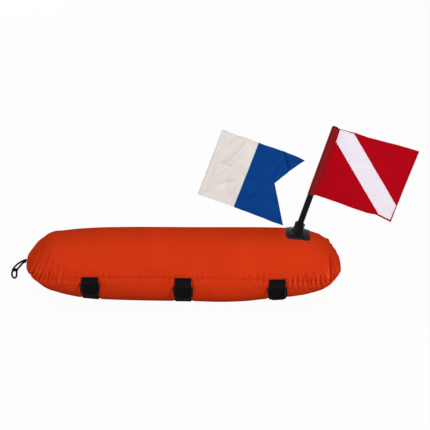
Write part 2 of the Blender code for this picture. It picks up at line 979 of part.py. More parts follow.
def valve_cap(group, tools):
    """The ribbed cap that pushes over the neck."""
    inner = valve_neck_radius + seat_gap
    outer = inner + cap_wall
    top = valve_stand + seat_gap
    roof = top + cap_wall
    foot = roof - cap_height
    edge = cap_wall / 2
    profile = (
        (0.0, roof),
        (outer - edge, roof),
        (outer, roof - edge),
        (outer, foot),
        (inner, foot),
        (inner, top),
        (0.0, top),
    )
    made = turned("valve_cap", profile, valve_frame(), black_plastic(), group, steps=cap_ribs * 2)
    ribs = []
    for i in range(cap_ribs):
        middle = math.tau * i / cap_ribs
        spread = math.tau / cap_ribs / 5
        ribs.append((math.cos(middle - spread) * outer, math.sin(middle - spread) * outer))
        ribs.append((math.cos(middle) * (outer + cap_rib), math.sin(middle) * (outer + cap_rib)))
        ribs.append((math.cos(middle + spread) * outer, math.sin(middle + spread) * outer))
    hole = arc((0.0, 0.0), inner + cap_wall / 2, 0.0, math.tau, cap_ribs * 2)[:-1]
    height = cap_height - 2 * edge
    place = valve_frame() @ Matrix.Translation((0.0, 0.0, foot + height / 2 + edge / 2))
    band = cut_sheet("cap_ribs", (ribs, hole), height, place, None, group)
    return combine(as_mesh(made), as_mesh(band), "UNION", tools)


# Mast foot and mast


def mast_axis():
    return Vector((math.sin(mast_lean), 0.0, math.cos(mast_lean)))


def mast_frame():
    return frame_matrix(skin(mast_place, 0.0), (1.0, 0.0, 0.0), mast_axis())


def crown_place(lift):
    """Carries (u, v) to the float's crown at the mast, lifted off the cover."""
    def place(u, v):
        return on_skin(mast_place + u, -v / body_half_height, lift)

    return place


def mast_patch(group):
    outline = rounded_rectangle(patch_half_length, patch_half_width, patch_corner)
    return laid_sheet(
        "mast_patch", outline, patch_half_length / 3, crown_place(seat_gap), patch_cloth, 1, black_rubber(), group
    )


def mast_foot(group, tools):
    """The moulded foot: a plate that follows the float's crown, a flared skirt and a collared socket."""
    lift = patch_cloth + 2 * seat_gap
    spacing = foot_half_length / 3
    outline = rounded_rectangle(foot_half_length, foot_half_width, foot_corner)
    made = laid_sheet(
        "mast_foot", outline, spacing, crown_place(lift), foot_plate, 1, black_plastic(), group
    )
    base = lift + foot_plate
    chamfer = foot_collar_chamfer
    collar_foot = foot_height - foot_collar
    profile = (
        (0.0, foot_height),
        (foot_collar_radius - chamfer, foot_height),
        (foot_collar_radius, foot_height - chamfer),
        (foot_collar_radius, collar_foot + chamfer),
        (foot_collar_radius - chamfer, collar_foot),
        (foot_socket_radius, collar_foot),
        (foot_socket_radius + chamfer, base + foot_skirt_rise),
        (foot_skirt_radius - foot_skirt_rise / 2, base + foot_skirt_rise * 0.35),
        (foot_skirt_radius, base),
        (foot_skirt_radius, -cut_overrun),
        (0.0, -cut_overrun),
    )
    socket = turned("foot_socket", profile, mast_frame(), None, tools)
    under_outline = rounded_rectangle(foot_half_length * 1.3, foot_half_width * 1.3, foot_corner)
    under_thickness = 3 * cut_overrun
    under = laid_sheet(
        "foot_underside", under_outline, spacing, crown_place(lift), under_thickness, -1, None, tools
    )
    top = foot_height + cut_overrun
    floor = foot_height - socket_depth
    bore = mast_radius + mast_clearance
    bore_profile = (
        (0.0, top),
        (bore + chamfer + cut_overrun, top),
        (bore, foot_height - chamfer),
        (bore, floor),
        (0.0, floor),
    )
    hole = turned("foot_bore", bore_profile, mast_frame(), None, tools)
    made = combine(as_mesh(made), socket, "UNION", tools)
    made = combine(made, as_mesh(under), "DIFFERENCE", tools)
    return combine(made, hole, "DIFFERENCE", tools)


def mast_tube(group):
    start = foot_height - socket_depth + mast_clearance + mast_plug_flange + seat_gap
    inner = mast_radius - mast_wall
    profile = ((mast_radius, mast_top), (mast_radius, start), (inner, start), (inner, mast_top))
    return turned("mast_tube", profile, mast_frame(), black_plastic(), group, closed=True)


def mast_plug(group):
    """The plug that closes the mast's lower end and stands on the socket's floor."""
    start = foot_height - socket_depth + mast_clearance
    inner = mast_radius - mast_wall - seat_gap
    seat = start + mast_plug_flange
    profile = (
        (0.0, start + mast_plug_length),
        (inner, start + mast_plug_length),
        (inner, seat),
        (mast_radius, seat),
        (mast_radius, start),
        (0.0, start),
    )
    return turned("mast_plug", profile, mast_frame(), black_rubber(), group)


def mast_cap(group):
    """The domed cap in the mast's upper end."""
    inner = mast_radius - mast_wall - seat_gap
    seat = mast_top + seat_gap
    profile = (
        (0.0, seat + mast_cap_dome),
        (mast_radius * 0.5, seat + mast_cap_dome * 0.87),
        (mast_radius * 0.87, seat + mast_cap_dome * 0.5),
        (mast_radius, seat),
        (inner, seat),
        (inner, seat - mast_plug_length / 2),
        (0.0, seat - mast_plug_length / 2),
    )
    return turned("mast_cap", profile, mast_frame(), black_rubber(), group)


# Flags


def sleeve_outline(half_across, half_deep, tail):
    """A folded sleeve seen along the mast: round about the mast, then drawn in to the sewn tail."""
    back = [
        (half_across * math.cos(angle), half_deep * math.sin(angle))
        for angle in [math.radians(60 + 240 * i / 12) for i in range(13)]
    ]
    tip = sleeve_cloth / 2
    return [(tail, tip), ((tail + half_across / 2) / 2, tip + half_deep / 3)] + back + [
        ((tail + half_across / 2) / 2, -tip - half_deep / 3),
        (tail, -tip),
    ]


def sleeve(name, half_across, half_deep, tail, place, start, end, material, group):
    """A sleeve of cloth with its open bore, from start to end along place's local Z."""
    outer = sleeve_outline(half_across + sleeve_cloth, half_deep + sleeve_cloth, tail)
    bore = sleeve_outline(half_across, half_deep, tail)[1:-1]
    moved = place @ Matrix.Translation((0.0, 0.0, (start + end) / 2))
    return cut_sheet(name, (outer, bore), end - start, moved, material, group)


def flag_place(place, fly, depth):
    """Carries a flag's (outwards, up) to space, with the cloth's slow folds growing towards the fly."""
    def carry(u, v):
        share = max(u / fly, 0.0)
        fold = depth * share * math.sin(math.tau * (0.85 * share + 0.55 * v / fly))
        return place @ Vector((u, fold, v))

    return carry


def flag_sheet(name, outline, carry, spacing, material, group):
    fitted = inset_outline(outline, seat_gap / 2)
    return laid_sheet(name, fitted, spacing, carry, flag_cloth, 0, material, group)


def diver_flag(group):
    """The red flag with its white diagonal, each piece sewn edge to edge."""
    place = mast_frame()
    carry = flag_place(place, flag_fly, flag_wave)
    low = flag_foot
    high = flag_foot + flag_hoist
    tail = sleeve_tail + seat_gap
    stripe = [(u * flag_fly, low + v * flag_hoist) for u, v in stripe_outline_shares]
    inner_low, foot_left, foot_right, fly_side, top_right, top_left = stripe
    corner_low = (flag_foot_fly, low - flag_fly_drop)
    corner_high = (flag_fly, high + flag_fly_rise)
    spacing = flag_hoist / 8
    start = (tail, inner_low[1])
    stripe[0] = start
    stripe[5] = (tail, top_left[1])
    upper = [top_right, fly_side, foot_right, corner_low, corner_high]
    lower = [(tail, low), foot_left, start]
    flag_sheet("diver_flag_stripe", stripe, carry, spacing, flag_white(), group)
    flag_sheet("diver_flag_upper", upper, carry, spacing, flag_red(), group)
    flag_sheet("diver_flag_lower", lower, carry, spacing, flag_red(), group)
    half = mast_radius + mast_clearance
    sleeve("diver_flag_sleeve", half, half, sleeve_tail, place, low, high, flag_red(), group)


def spare_frame():
    axis = Vector((math.sin(spare_lean), 0.0, math.cos(spare_lean)))
    return frame_matrix((spare_foot_x, 0.0, spare_foot_z), (1.0, 0.0, 0.0), axis)


def spare_flag(group):
    """The white and blue swallow-tailed flag with its empty sleeve."""
    place = spare_frame()
    carry = flag_place(place, spare_fly, spare_wave)
    band = spare_sleeve_band + seat_gap
    spacing = spare_hoist / 8

    def top_at(u):
        return spare_hoist - spare_fly_droop * u / spare_fly

    def foot_at(u):
        return -spare_foot_droop * u / spare_foot_fly

    white = [
        (band, foot_at(band)),
        (spare_white, foot_at(spare_white)),
        (spare_white, top_at(spare_white)),
        (band, top_at(band)),
    ]
    blue = [
        (spare_white, foot_at(spare_white)),
        (spare_foot_fly, -spare_foot_droop),
        (spare_notch, spare_notch_height),
        (spare_fly, spare_hoist - spare_fly_droop),
        (spare_white, top_at(spare_white)),
    ]
    flag_sheet("spare_flag_white", white, carry, spacing, flag_white(), group)
    flag_sheet("spare_flag_blue", blue, carry, spacing, flag_blue(), group)
    across = spare_sleeve_across
    moved = place @ Matrix.Translation((across + sleeve_cloth, 0.0, 0.0))
    tail = spare_sleeve_band - across - sleeve_cloth
    sleeve(
        "spare_flag_sleeve", across, spare_sleeve_half, tail, moved, 0.0, spare_hoist, flag_white(), group
    )


# Cord loop


def smooth_route(route, step):
    """Points about step apart on a smooth curve through the route's own points."""
    spots = [Vector(point) for point in route]
    line = [spots[0] * 2 - spots[1]] + spots + [spots[-1] * 2 - spots[-2]]
    out = [spots[0]]
    for i in range(1, len(line) - 2):
        p0, p1, p2, p3 = line[i - 1 : i + 3]
        parts = max(1, round((p2 - p1).length / step))
        for k in range(1, parts + 1):
            t = k / parts
            out.append(
                (
                    p1 * 2
                    + (p2 - p0) * t
                    + (p0 * 2 - p1 * 5 + p2 * 4 - p3) * t**2
                    + (p1 * 3 - p0 - p2 * 3 + p3) * t**3
                )
                / 2
            )
    return out


def cord(name, route, group):
    points = smooth_route(route, cord_thickness * cord_step_share)
    return tube(name, points, cord_thickness / 2, black_webbing(), group)


def knot(group):
    """The knot that gathers the cord's two strands above its eye."""
    work = bmesh.new()
    bmesh.ops.create_uvsphere(work, u_segments=12, v_segments=8, radius=1.0)
    bmesh.ops.scale(work, vec=(knot_half_length, knot_half_depth, knot_half_height), verts=work.verts)
    data = bpy.data.meshes.new("nose_knot")
    work.to_mesh(data)
    work.free()
    smooth(data)
    made = add_object("nose_knot", data, group, black_webbing())
    made.location = knot_place
    made.rotation_euler = (0.0, math.radians(-20), 0.0)
    return made


def main():
    clear_scene()
    parts = new_collection(part_name)
    tools = new_collection("cutters")

    top_panel = cover_panel("cover_top_panel", True, parts)
    combine(top_panel, valve_drill("cover_hole", valve_neck_radius + seat_gap, tools), "DIFFERENCE", tools)
    cover_panel("cover_belly_panel", False, parts)
    bladder(parts, tools)

    for side, middle, drop in zip(strap_sides, strap_places, ring_drops):
        strap(f"strap_{side}", middle, parts)
        keeper(f"ring_keeper_{side}", middle, drop, parts)
        d_ring(f"d_ring_{side}", middle, drop, parts)

    zip_tape("zip_tape_upper", 1, parts, tools)
    zip_tape("zip_tape_lower", -1, parts, tools)
    zip_stop("zip_stop_left", -1, parts)
    zip_stop("zip_stop_right", 1, parts)
    zip_slider(parts, tools)
    zip_pull(parts)

    valve_patch(parts, tools)
    valve_body(parts)
    valve_cap(parts, tools)

    mast_patch(parts)
    mast_foot(parts, tools)
    mast_tube(parts)
    mast_plug(parts)
    mast_cap(parts)
    diver_flag(parts)
    spare_flag(parts)

    cord("nose_cord_upper", cord_upper_route, parts)
    cord("nose_cord_lower", cord_lower_route, parts)
    cord("nose_cord_eye", cord_eye_route, parts)
    knot(parts)


main()
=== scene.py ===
"""Looks of an inflated torpedo float with a diver-down flag on its mast and a spare swallow-tailed flag."""

import math

import bmesh
import bpy
import numpy as np
from bpy.props import FloatProperty, FloatVectorProperty, PointerProperty
from bpy.types import Operator, Panel, PropertyGroup
from mathutils import Matrix, Vector, noise
from mathutils.bvhtree import BVHTree


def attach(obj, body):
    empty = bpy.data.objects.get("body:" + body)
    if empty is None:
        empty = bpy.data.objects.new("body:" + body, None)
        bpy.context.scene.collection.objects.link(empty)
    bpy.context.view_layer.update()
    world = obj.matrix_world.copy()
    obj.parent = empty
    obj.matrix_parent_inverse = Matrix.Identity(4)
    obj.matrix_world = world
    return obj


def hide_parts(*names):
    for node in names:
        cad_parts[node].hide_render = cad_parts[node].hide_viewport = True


bl_info = {
    "name": "Dive Flag Float",
    "version": (1, 0, 0),
    "blender": (4, 5, 0),
    "location": "View3D > Sidebar > Float",
    "description": "Models the cover, webbing, flags and cord of an inflated marker float",
    "category": "Add Mesh",
}

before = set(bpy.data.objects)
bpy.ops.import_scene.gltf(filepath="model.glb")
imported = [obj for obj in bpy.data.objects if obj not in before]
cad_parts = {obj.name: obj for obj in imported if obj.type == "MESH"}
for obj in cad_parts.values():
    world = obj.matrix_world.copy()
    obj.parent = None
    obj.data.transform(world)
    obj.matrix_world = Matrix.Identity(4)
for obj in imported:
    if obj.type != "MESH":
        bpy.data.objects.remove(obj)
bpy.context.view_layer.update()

# The body's line, which every piece on the float is laid on
body_length = 0.9725
body_left_reach = body_length * 0.49871
body_half_height = 0.1167
body_half_width = 0.1115
spine_base = body_half_height - 0.006
end_rise = 0.010
body_outline_shares = (
    (0.0, 0.0, 0.30, 0.80, 0.80),
    (0.003, 0.11, 0.46, 0.78, 0.60),
    (0.013, 0.225, 0.66, 0.70, 0.10),
    (0.0215, 0.33, 0.74, 0.80, -0.05),
    (0.031, 0.435, 0.826, 0.97, -0.27),
    (0.050, 0.594, 0.887, 1.00, -0.25),
    (0.069, 0.704, 0.935, 1.08, -0.13),
    (0.088, 0.775, 0.958, 1.17, -0.03),
    (0.110, 0.812, 0.98, 0.92, 0.08),
    (0.148, 0.875, 0.99, 0.69, 0.26),
    (0.186, 0.920, 1.0, 0.53, 0.43),
    (0.262, 0.962, 1.0, 0.41, 0.49),
    (0.376, 0.983, 1.0, 0.28, 0.38),
    (0.528, 0.989, 1.0, 0.12, 0.12),
    (0.620, 1.0, 1.0, 0.0, -0.07),
    (0.680, 0.992, 1.0, 0.08, -0.15),
    (0.756, 0.955, 1.0, 0.45, -0.26),
    (0.829, 0.912, 1.0, 0.71, -0.37),
    (0.877, 0.861, 1.0, 0.85, -0.53),
    (0.905, 0.797, 0.984, 0.84, -0.62),
    (0.924, 0.742, 0.966, 0.79, -0.67),
    (0.943, 0.663, 0.926, 0.62, -0.81),
    (0.962, 0.545, 0.883, 0.60, -0.96),
    (0.9715, 0.461, 0.793, 0.58, -0.91),
    (0.981, 0.353, 0.691, 0.36, -0.83),
    (0.9905, 0.220, 0.53, 0.0, -0.72),
    (0.9965, 0.12, 0.40, -0.3, -0.65),
    (1.0, 0.0, 0.28, -0.6, -0.6),
)

# The three straps: where each lies, how far its ring hangs under the seam and stands aside on its bar
ring_names = ("left", "middle", "right")
strap_places = (-0.286, 0.0, 0.290)
ring_drops = (0.021, 0.029, 0.029)
ring_shifts = (0.0, 0.0, -0.0008)
webbing_width = 0.050
webbing_thickness = 0.002
ring_width = 0.056
ring_height = 0.0375
ring_radius = 0.0025
ring_corners = ((1, 0.0032, 4), (-1, 0.016, 9))
# A keeper starts under the seam, passes behind the ring's bar and comes back up over itself
keeper_half_width = 0.0240
keeper_start = 0.0032
keeper_neck = 0.011
under_lift, over_lift = 0.0004, 0.0035
bar_lift, neck_lift = 0.0087, 0.0037

# Zip, valve, mast and second flag
zip_start = 0.045
zip_end = 0.245
valve_place = -0.150
valve_turn = math.radians(-52)
mast_place = 0.3519
mast_lean = math.radians(18.4)
mast_patch_half = (0.0372, 0.0490)
mast_patch_corner = 0.013
valve_patch_radius = 0.024
valve_opening = 0.0093
spare_lean = math.radians(19.8)
spare_foot = (0.0456, 0.0, 0.3455)
flag_cloth = 0.0005


# Colour and small reckonings


def linear(code):
    """An sRGB hex colour as a linear one with alpha."""
    values = [int(code[i : i + 2], 16) / 255 for i in (0, 2, 4)]
    return tuple(v / 12.92 if v <= 0.04045 else ((v + 0.055) / 1.055) ** 2.4 for v in values) + (1.0,)


def clamp(value, low=0.0, high=1.0):
    return min(max(value, low), high)


def bell(distance, width):
    """1 at no distance, falling off softly over width, for a number or an array."""
    exp = np.exp if isinstance(distance, np.ndarray) else math.exp
    return exp(-((distance / width) ** 2))


def lengths_along(points):
    """How far along the line through the points each of them lies."""
    spots = [Vector(point) for point in points]
    reach = [0.0]
    for a, b in zip(spots, spots[1:]):
        reach.append(reach[-1] + (b - a).length)
    return reach


def circle(radius, sides, closed=False):
    turns = [math.tau * i / sides for i in range(sides + closed)]
    return [(radius * math.cos(a), radius * math.sin(a)) for a in turns]


# The body's surface


def smooth_column(column):
    """One column of body_outline_shares, read along the body on a curve that never overshoots."""
    spots = [row[0] for row in body_outline_shares]
    values = [row[column] for row in body_outline_shares]
    last = len(spots) - 1
    slopes = [(values[i + 1] - values[i]) / (spots[i + 1] - spots[i]) for i in range(last)]
    tangents = [slopes[0]]
    for before, after in zip(slopes, slopes[1:]):
        tangents.append(2 * before * after / (before + after) if before * after > 0 else 0.0)
    tangents.append(slopes[-1])
    fine = np.linspace(0.0, 1.0, 4001)
    index = np.clip(np.searchsorted(spots, fine, side="right") - 1, 0, last - 1)
    spots = np.array(spots)
    values = np.array(values)
    tangents = np.array(tangents)
    run = spots[index + 1] - spots[index]
    part = (fine - spots[index]) / run
    rest = 1 - part
    curve = (1 + 2 * part) * rest**2 * values[index] + part * rest**2 * run * tangents[index]
    curve += part**2 * (3 - 2 * part) * values[index + 1]
    curve -= part**2 * rest * run * tangents[index + 1]
    return curve


body_columns = [smooth_column(i) for i in range(1, 5)]
body_fine = np.linspace(0.0, 1.0, 4001)


def section(x):
    """Half height, half width, height of the middle and height of the seam at x."""
    share = (x + body_left_reach) / body_length
    values = [np.interp(share, body_fine, column) for column in body_columns]
    return (
        body_half_height * values[0],
        body_half_width * values[1],
        spine_base + end_rise * values[2],
        spine_base + end_rise * values[3],
    )


def seam_turn(x):
    half_height, _, middle, seam = section(x)
    if half_height < 0.001:
        return math.pi / 2
    return math.acos(clamp((seam - middle) / half_height, -0.85, 0.85))


def skin(x, turn, inset=0.0):
    half_height, half_width, middle, _ = section(x)
    y = -max(half_width - inset, 0.0) * math.sin(turn)
    z = middle + max(half_height - inset, 0.0) * math.cos(turn)
    return Vector((x, y, max(z, max(inset, 0.0))))


def skin_normal(x, turn):
    along = skin(x + 0.001, turn) - skin(x - 0.001, turn)
    around = skin(x, turn + 0.01) - skin(x, turn - 0.01)
    return around.cross(along).normalized()


def on_skin(x, turn, lift):
    return skin(x, turn) + skin_normal(x, turn) * lift


def frame_matrix(origin, x_axis, z_axis):
    up = Vector(z_axis).normalized()
    along = (Vector(x_axis) - up * up.dot(Vector(x_axis))).normalized()
    turned = Matrix((along, up.cross(along), up)).transposed().to_4x4()
    return Matrix.Translation(Vector(origin)) @ turned


# Materials


def add(tree, kind, inputs=None, **settings):
    """Adds a node with its settings, and sets or links the inputs that are given."""
    made = tree.nodes.new(kind)
    for name, value in settings.items():
        setattr(made, name, value)
    for name, value in (inputs or {}).items():
        if isinstance(value, bpy.types.NodeSocket):
            tree.links.new(value, made.inputs[name])
        else:
            made.inputs[name].default_value = value
    return made


def reckon(tree, operation, *values):
    """The result of a Math node on numbers or sockets."""
    return add(tree, "ShaderNodeMath", dict(enumerate(values)), operation=operation).outputs[0]


def bump(tree, over, height, depth, strength):
    """Adds a bump and feeds it to a shader, or to another bump over it."""
    made = add(tree, "ShaderNodeBump", {"Height": height, "Distance": depth, "Strength": strength})
    tree.links.new(made.outputs["Normal"], over.inputs["Normal"])
    return made


def new_material(name, colour, roughness, gloss=0.5):
    """A Principled material and its tree, ready for its pattern; gloss is its specular level."""
    made = bpy.data.materials.new(name)
    made.use_nodes = True
    tree = made.node_tree
    shader = tree.nodes["Principled BSDF"]
    shader.inputs["Base Color"].default_value = colour
    shader.inputs["Roughness"].default_value = roughness
    shader.inputs["Specular IOR Level"].default_value = gloss
    made.diffuse_color = colour
    return made, tree, shader


def shade_of(colour, share):
    return tuple(channel * share for channel in colour[:3]) + (1.0,)


def cloth_colour(tree, shader, place, colour, spread, size):
    """Slow, faint changes of shade over a cloth, size metres across."""
    cloud = add(tree, "ShaderNodeTexNoise", {"Vector": place, "Scale": 1 / size, "Detail": 3.0})
    ramp = add(tree, "ShaderNodeValToRGB", {"Fac": cloud.outputs["Fac"]})
    shares = ((0.3, 1 - spread), (0.7, 1 + spread * 0.6))
    for element, (position, share) in zip(ramp.color_ramp.elements, shares):
        element.position = position
        element.color = shade_of(colour, share)
    tree.links.new(ramp.outputs["Color"], shader.inputs["Base Color"])
    return ramp


def woven_bump(tree, shader, place, spacing, depth, strength):
    """A plain weave's bump, with its threads spacing metres apart along the first two axes of place."""
    split = add(tree, "ShaderNodeSeparateXYZ", {"Vector": place})
    turns = [reckon(tree, "MULTIPLY", split.outputs[axis], math.pi / spacing) for axis in "XY"]
    waves = [reckon(tree, "SINE", turn) for turn in turns]
    return bump(tree, shader, reckon(tree, "MULTIPLY", *waves), depth, strength)


def cover_material(name, colour):
    # Coated nylon taffeta, woven and calendered: nearly matt, over a fine even weave
    made, tree, shader = new_material(name, colour, 0.55, 0.0)
    spot = add(tree, "ShaderNodeTexCoord").outputs["Object"]
    shade = cloth_colour(tree, shader, spot, colour, 0.07, 0.11).outputs["Color"]
    # Painted light: the cloth is coloured paler on ridges as a painted highlight and deeper in folds as
    # painted shade, read from the crease attribute
    crease = add(tree, "ShaderNodeAttribute", attribute_name="crease").outputs["Fac"]
    painted_ridge_highlight = ({"From Min": -0.05, "From Max": -0.5, "To Max": 0.6}, "E4561A")
    fold = ({"From Min": 0.1, "To Max": 0.85}, "A81C0C")
    for spread, tone in (painted_ridge_highlight, fold):
        share = add(tree, "ShaderNodeMapRange", {"Value": crease, **spread}).outputs["Result"]
        mix = add(tree, "ShaderNodeMixRGB", {"Fac": share, "Color1": shade, "Color2": linear(tone)})
        shade = mix.outputs["Color"]
    tree.links.new(shade, shader.inputs["Base Color"])
    # The pattern is laid round the body, so that it isn't stretched on the sides
    split = add(tree, "ShaderNodeSeparateXYZ", {"Vector": spot})
    height = reckon(tree, "SUBTRACT", split.outputs["Z"], spine_base)
    turn = reckon(tree, "ARCTAN2", split.outputs["Y"], height)
    girth = reckon(tree, "MULTIPLY", turn, body_half_width)
    laid = add(tree, "ShaderNodeCombineXYZ", {"X": split.outputs["X"], "Y": girth}).outputs[0]
    # Threads are drawn 1.6 mm apart, four times coarser than real ones, so that they show
    weave = woven_bump(tree, shader, laid, 0.0016, 0.00012, 0.35)
    # Fine crumples that a coated cloth keeps after folding, drawn across the seams
    long = add(tree, "ShaderNodeMapping", {"Vector": laid, "Scale": (110.0, 22.0, 1.0)}).outputs[0]
    crumple = add(tree, "ShaderNodeTexNoise", {"Vector": long, "Scale": 1.0, "Detail": 4.0})
    away = reckon(tree, "SUBTRACT", split.outputs["Z"], spine_base - 0.002)
    away = reckon(tree, "ABSOLUTE", away)
    spread = {"Value": away, "From Max": 0.055, "To Min": 0.8, "To Max": 0.15}
    share = add(tree, "ShaderNodeMapRange", spread)
    bump(tree, weave, crumple.outputs["Fac"], 0.0016, share.outputs["Result"])
    return made


def webbing_material(name, colour):
    # Polypropylene webbing, woven in a heavy twill: dull, with ribs across its length
    made, tree, shader = new_material(name, colour, 0.75, 0.03)
    place = add(tree, "ShaderNodeUVMap").outputs["UV"]
    cloth_colour(tree, shader, place, colour, 0.25, 0.004)
    woven_bump(tree, shader, place, 0.0024, 0.0004, 0.8)
    return made


def cord_material(name, colour):
    # Braided polyester cord: dull, with the braid's diamonds
    made, tree, shader = new_material(name, colour, 0.75, 0.03)
    place = add(tree, "ShaderNodeTexCoord").outputs["Object"]
    cells = add(tree, "ShaderNodeTexVoronoi", {"Vector": place, "Scale": 1 / 0.0016})
    bump(tree, shader, cells.outputs["Distance"], 0.0004, 0.7)
    return made


def moulded_material(name, colour, roughness):
    # Injection-moulded plastic: satin, with the tool's fine spark texture
    made, tree, shader = new_material(name, colour, roughness, 0.1)
    place = add(tree, "ShaderNodeTexCoord").outputs["Object"]
    grain = add(tree, "ShaderNodeTexNoise", {"Vector": place, "Scale": 1 / 0.0009, "Detail": 2.0})
    grain = grain.outputs["Fac"]
    bump(tree, shader, grain, 0.00012, 0.35)
    spread = {"Value": grain, "To Min": roughness - 0.06, "To Max": roughness + 0.08}
    rough = add(tree, "ShaderNodeMapRange", spread)
    tree.links.new(rough.outputs["Result"], shader.inputs["Roughness"])
    return made


def flag_material(name, colour, spread=0.05):
    # Light polyester flag cloth, plain woven: soft, nearly matt, with faint slubs
    made, tree, shader = new_material(name, colour, 0.66, 0.02)
    place = add(tree, "ShaderNodeUVMap").outputs["UV"]
    cloth_colour(tree, shader, place, colour, spread, 0.06)
    # Threads are drawn 1.2 mm apart, so that they show
    weave = woven_bump(tree, shader, place, 0.0012, 0.0001, 0.3)
    slow = {"Vector": place, "Scale": 1 / 0.035, "Detail": 3.0, "Distortion": 0.6}
    cloud = add(tree, "ShaderNodeTexNoise", slow)
    bump(tree, weave, cloud.outputs["Fac"], 0.0035, 0.35)
    return made


def thread_material(name, colour):
    # Bonded polyester sewing thread: a low gloss, with its ply's twist
    made, tree, shader = new_material(name, colour, 0.6, 0.05)
    place = add(tree, "ShaderNodeTexCoord").outputs["Object"]
    ply = {"Vector": place, "Scale": 1 / 0.0012}
    twist = add(tree, "ShaderNodeTexWave", ply, bands_direction="DIAGONAL")
    bump(tree, shader, twist.outputs["Fac"], 0.0001, 0.4)
    return made


def finish_of(name):
    """The material of that name, made once from the settings' colours."""
    found = bpy.data.materials.get(name)
    if found:
        return found
    looks = bpy.context.scene.float_looks
    makers = {
        "coated_nylon_taffeta": (cover_material, looks.cover),
        "polypropylene_webbing": (webbing_material, looks.webbing),
        "braided_polyester_cord": (cord_material, looks.webbing),
        "moulded_acetal": (moulded_material, looks.plastic, 0.36),
        "moulded_nylon_foot": (moulded_material, looks.plastic, 0.42),
        "glass_fibre_mast": (moulded_material, looks.plastic, 0.30),
        "rubber_coated_patch": (moulded_material, looks.patch, 0.6),
        "urethane_film": (moulded_material, linear("8C8F91"), 0.35),
        "enamelled_zinc": (moulded_material, linear("2A2A2C"), 0.3),
        "flag_cloth_red": (flag_material, looks.flag_red),
        # A darker copy of the flag red for the sleeve: painted shade of the sleeve and of the dark mast
        # behind its thin cloth
        "flag_cloth_red_over_mast": (flag_material, looks.sleeve_red_painted_shade),
        "flag_cloth_white": (flag_material, looks.flag_white, 0.03),
        "flag_cloth_stripe": (flag_material, looks.stripe_white, 0.02),
        "flag_cloth_blue": (flag_material, looks.flag_blue),
        "thread_black": (thread_material, looks.webbing),
        "thread_orange": (thread_material, shade_of(looks.cover, 0.75)),
        "thread_red": (thread_material, shade_of(looks.flag_red, 0.8)),
        "thread_white": (thread_material, shade_of(looks.flag_white, 0.9)),
        "thread_blue": (thread_material, shade_of(looks.flag_blue, 0.9)),
    }
    maker, *values = makers[name]
    return maker(name, *values)


# Making pieces


def deselect():
    for item in bpy.context.selected_objects:
        item.select_set(False)


def only(item):
    """Selects one object and makes it the active one."""
    deselect()
    item.select_set(True)
    bpy.context.view_layer.objects.active = item


def settle(item):
    """Applies the object's modifiers and its place, so that its mesh holds its place."""
    only(item)
    for step in list(item.modifiers):
        bpy.ops.object.modifier_apply(modifier=step.name)
    bpy.ops.object.transform_apply(location=True, rotation=True, scale=True)


def carve(item, tool):
    """Cuts the tool's form out of a piece, and removes the tool."""
    settle(tool)
    only(item)
    cut = item.modifiers.new("cut", "BOOLEAN")
    cut.operation = "DIFFERENCE"
    cut.object = tool
    bpy.ops.object.modifier_apply(modifier="cut")
    bpy.data.objects.remove(tool)


def thicken(item, thickness, offset=0.0, even=True):
    """Gives a sheet its thickness."""
    wall = item.modifiers.new("wall", "SOLIDIFY")
    wall.thickness = thickness
    wall.offset = offset
    wall.use_even_offset = even
    settle(item)
    return item


def mend(item, change):
    """Changes a piece's mesh, and turns its faces outwards."""
    work = bmesh.new()
    work.from_mesh(item.data)
    change(work)
    bmesh.ops.recalc_face_normals(work, faces=work.faces)
    work.to_mesh(item.data)
    work.free()
    return item


def dress(item, finish, body, slot, *nodes, angle=40):
    """Gives a piece its finish and body, and hides the CAD nodes that it stands for. Its slot is not used."""
    item.data.materials.clear()
    item.data.materials.append(finish_of(finish))
    if item.type == "MESH" and angle:
        only(item)
        bpy.ops.object.shade_smooth_by_angle(angle=math.radians(angle))
    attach(item, body)
    if nodes:
        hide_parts(*nodes)
    return item


def link(item):
    bpy.context.scene.collection.objects.link(item)
    return item


def mesh_from(work, name):
    data = bpy.data.meshes.new(name)
    work.to_mesh(data)
    work.free()
    return link(bpy.data.objects.new(name, data))


def grid_piece(name, rows, uv=None, closed=False):
    """A sheet of quads through rows of points. Each row may close on itself."""
    work = bmesh.new()
    layer = work.loops.layers.uv.new("UVMap")
    spots = [[work.verts.new(point) for point in row] for row in rows]
    width = len(rows[0])
    columns = width if closed else width - 1
    for r in range(len(rows) - 1):
        for c in range(columns):
            after = (c + 1) % width
            corners = (spots[r][c], spots[r][after], spots[r + 1][after], spots[r + 1][c])
            face = work.faces.new(corners)
            if uv:
                places = ((r, c), (r, c + 1), (r + 1, c + 1), (r + 1, c))
                for loop, place in zip(face.loops, places):
                    loop[layer].uv = uv(*place)
    return mesh_from(work, name)


def cloth_panel(name, outline, spacing, carry, thickness, offset=0.0):
    """A panel cut to outline, with its own UV in metres, carried to space and given its thickness."""
    work = bmesh.new()
    layer = work.loops.layers.uv.new("UVMap")
    work.faces.new([work.verts.new((u, v, 0.0)) for u, v in outline])
    for axis in (0, 1):
        low = min(point[axis] for point in outline)
        high = max(point[axis] for point in outline)
        cells = max(1, round((high - low) / spacing))
        normal = (1.0, 0.0, 0.0) if axis == 0 else (0.0, 1.0, 0.0)
        for i in range(1, cells):
            spot = [0.0, 0.0, 0.0]
            spot[axis] = low + (high - low) * i / cells
            parts = work.verts[:] + work.edges[:] + work.faces[:]
            bmesh.ops.bisect_plane(work, geom=parts, dist=0.000001, plane_co=spot, plane_no=normal)
    bmesh.ops.triangulate(work, faces=[face for face in work.faces if len(face.verts) > 4])
    for face in work.faces:
        for loop in face.loops:
            loop[layer].uv = loop.vert.co.xy
    for vertex in work.verts:
        vertex.co = carry(vertex.co.x, vertex.co.y)
    return thicken(mesh_from(work, name), thickness, offset)


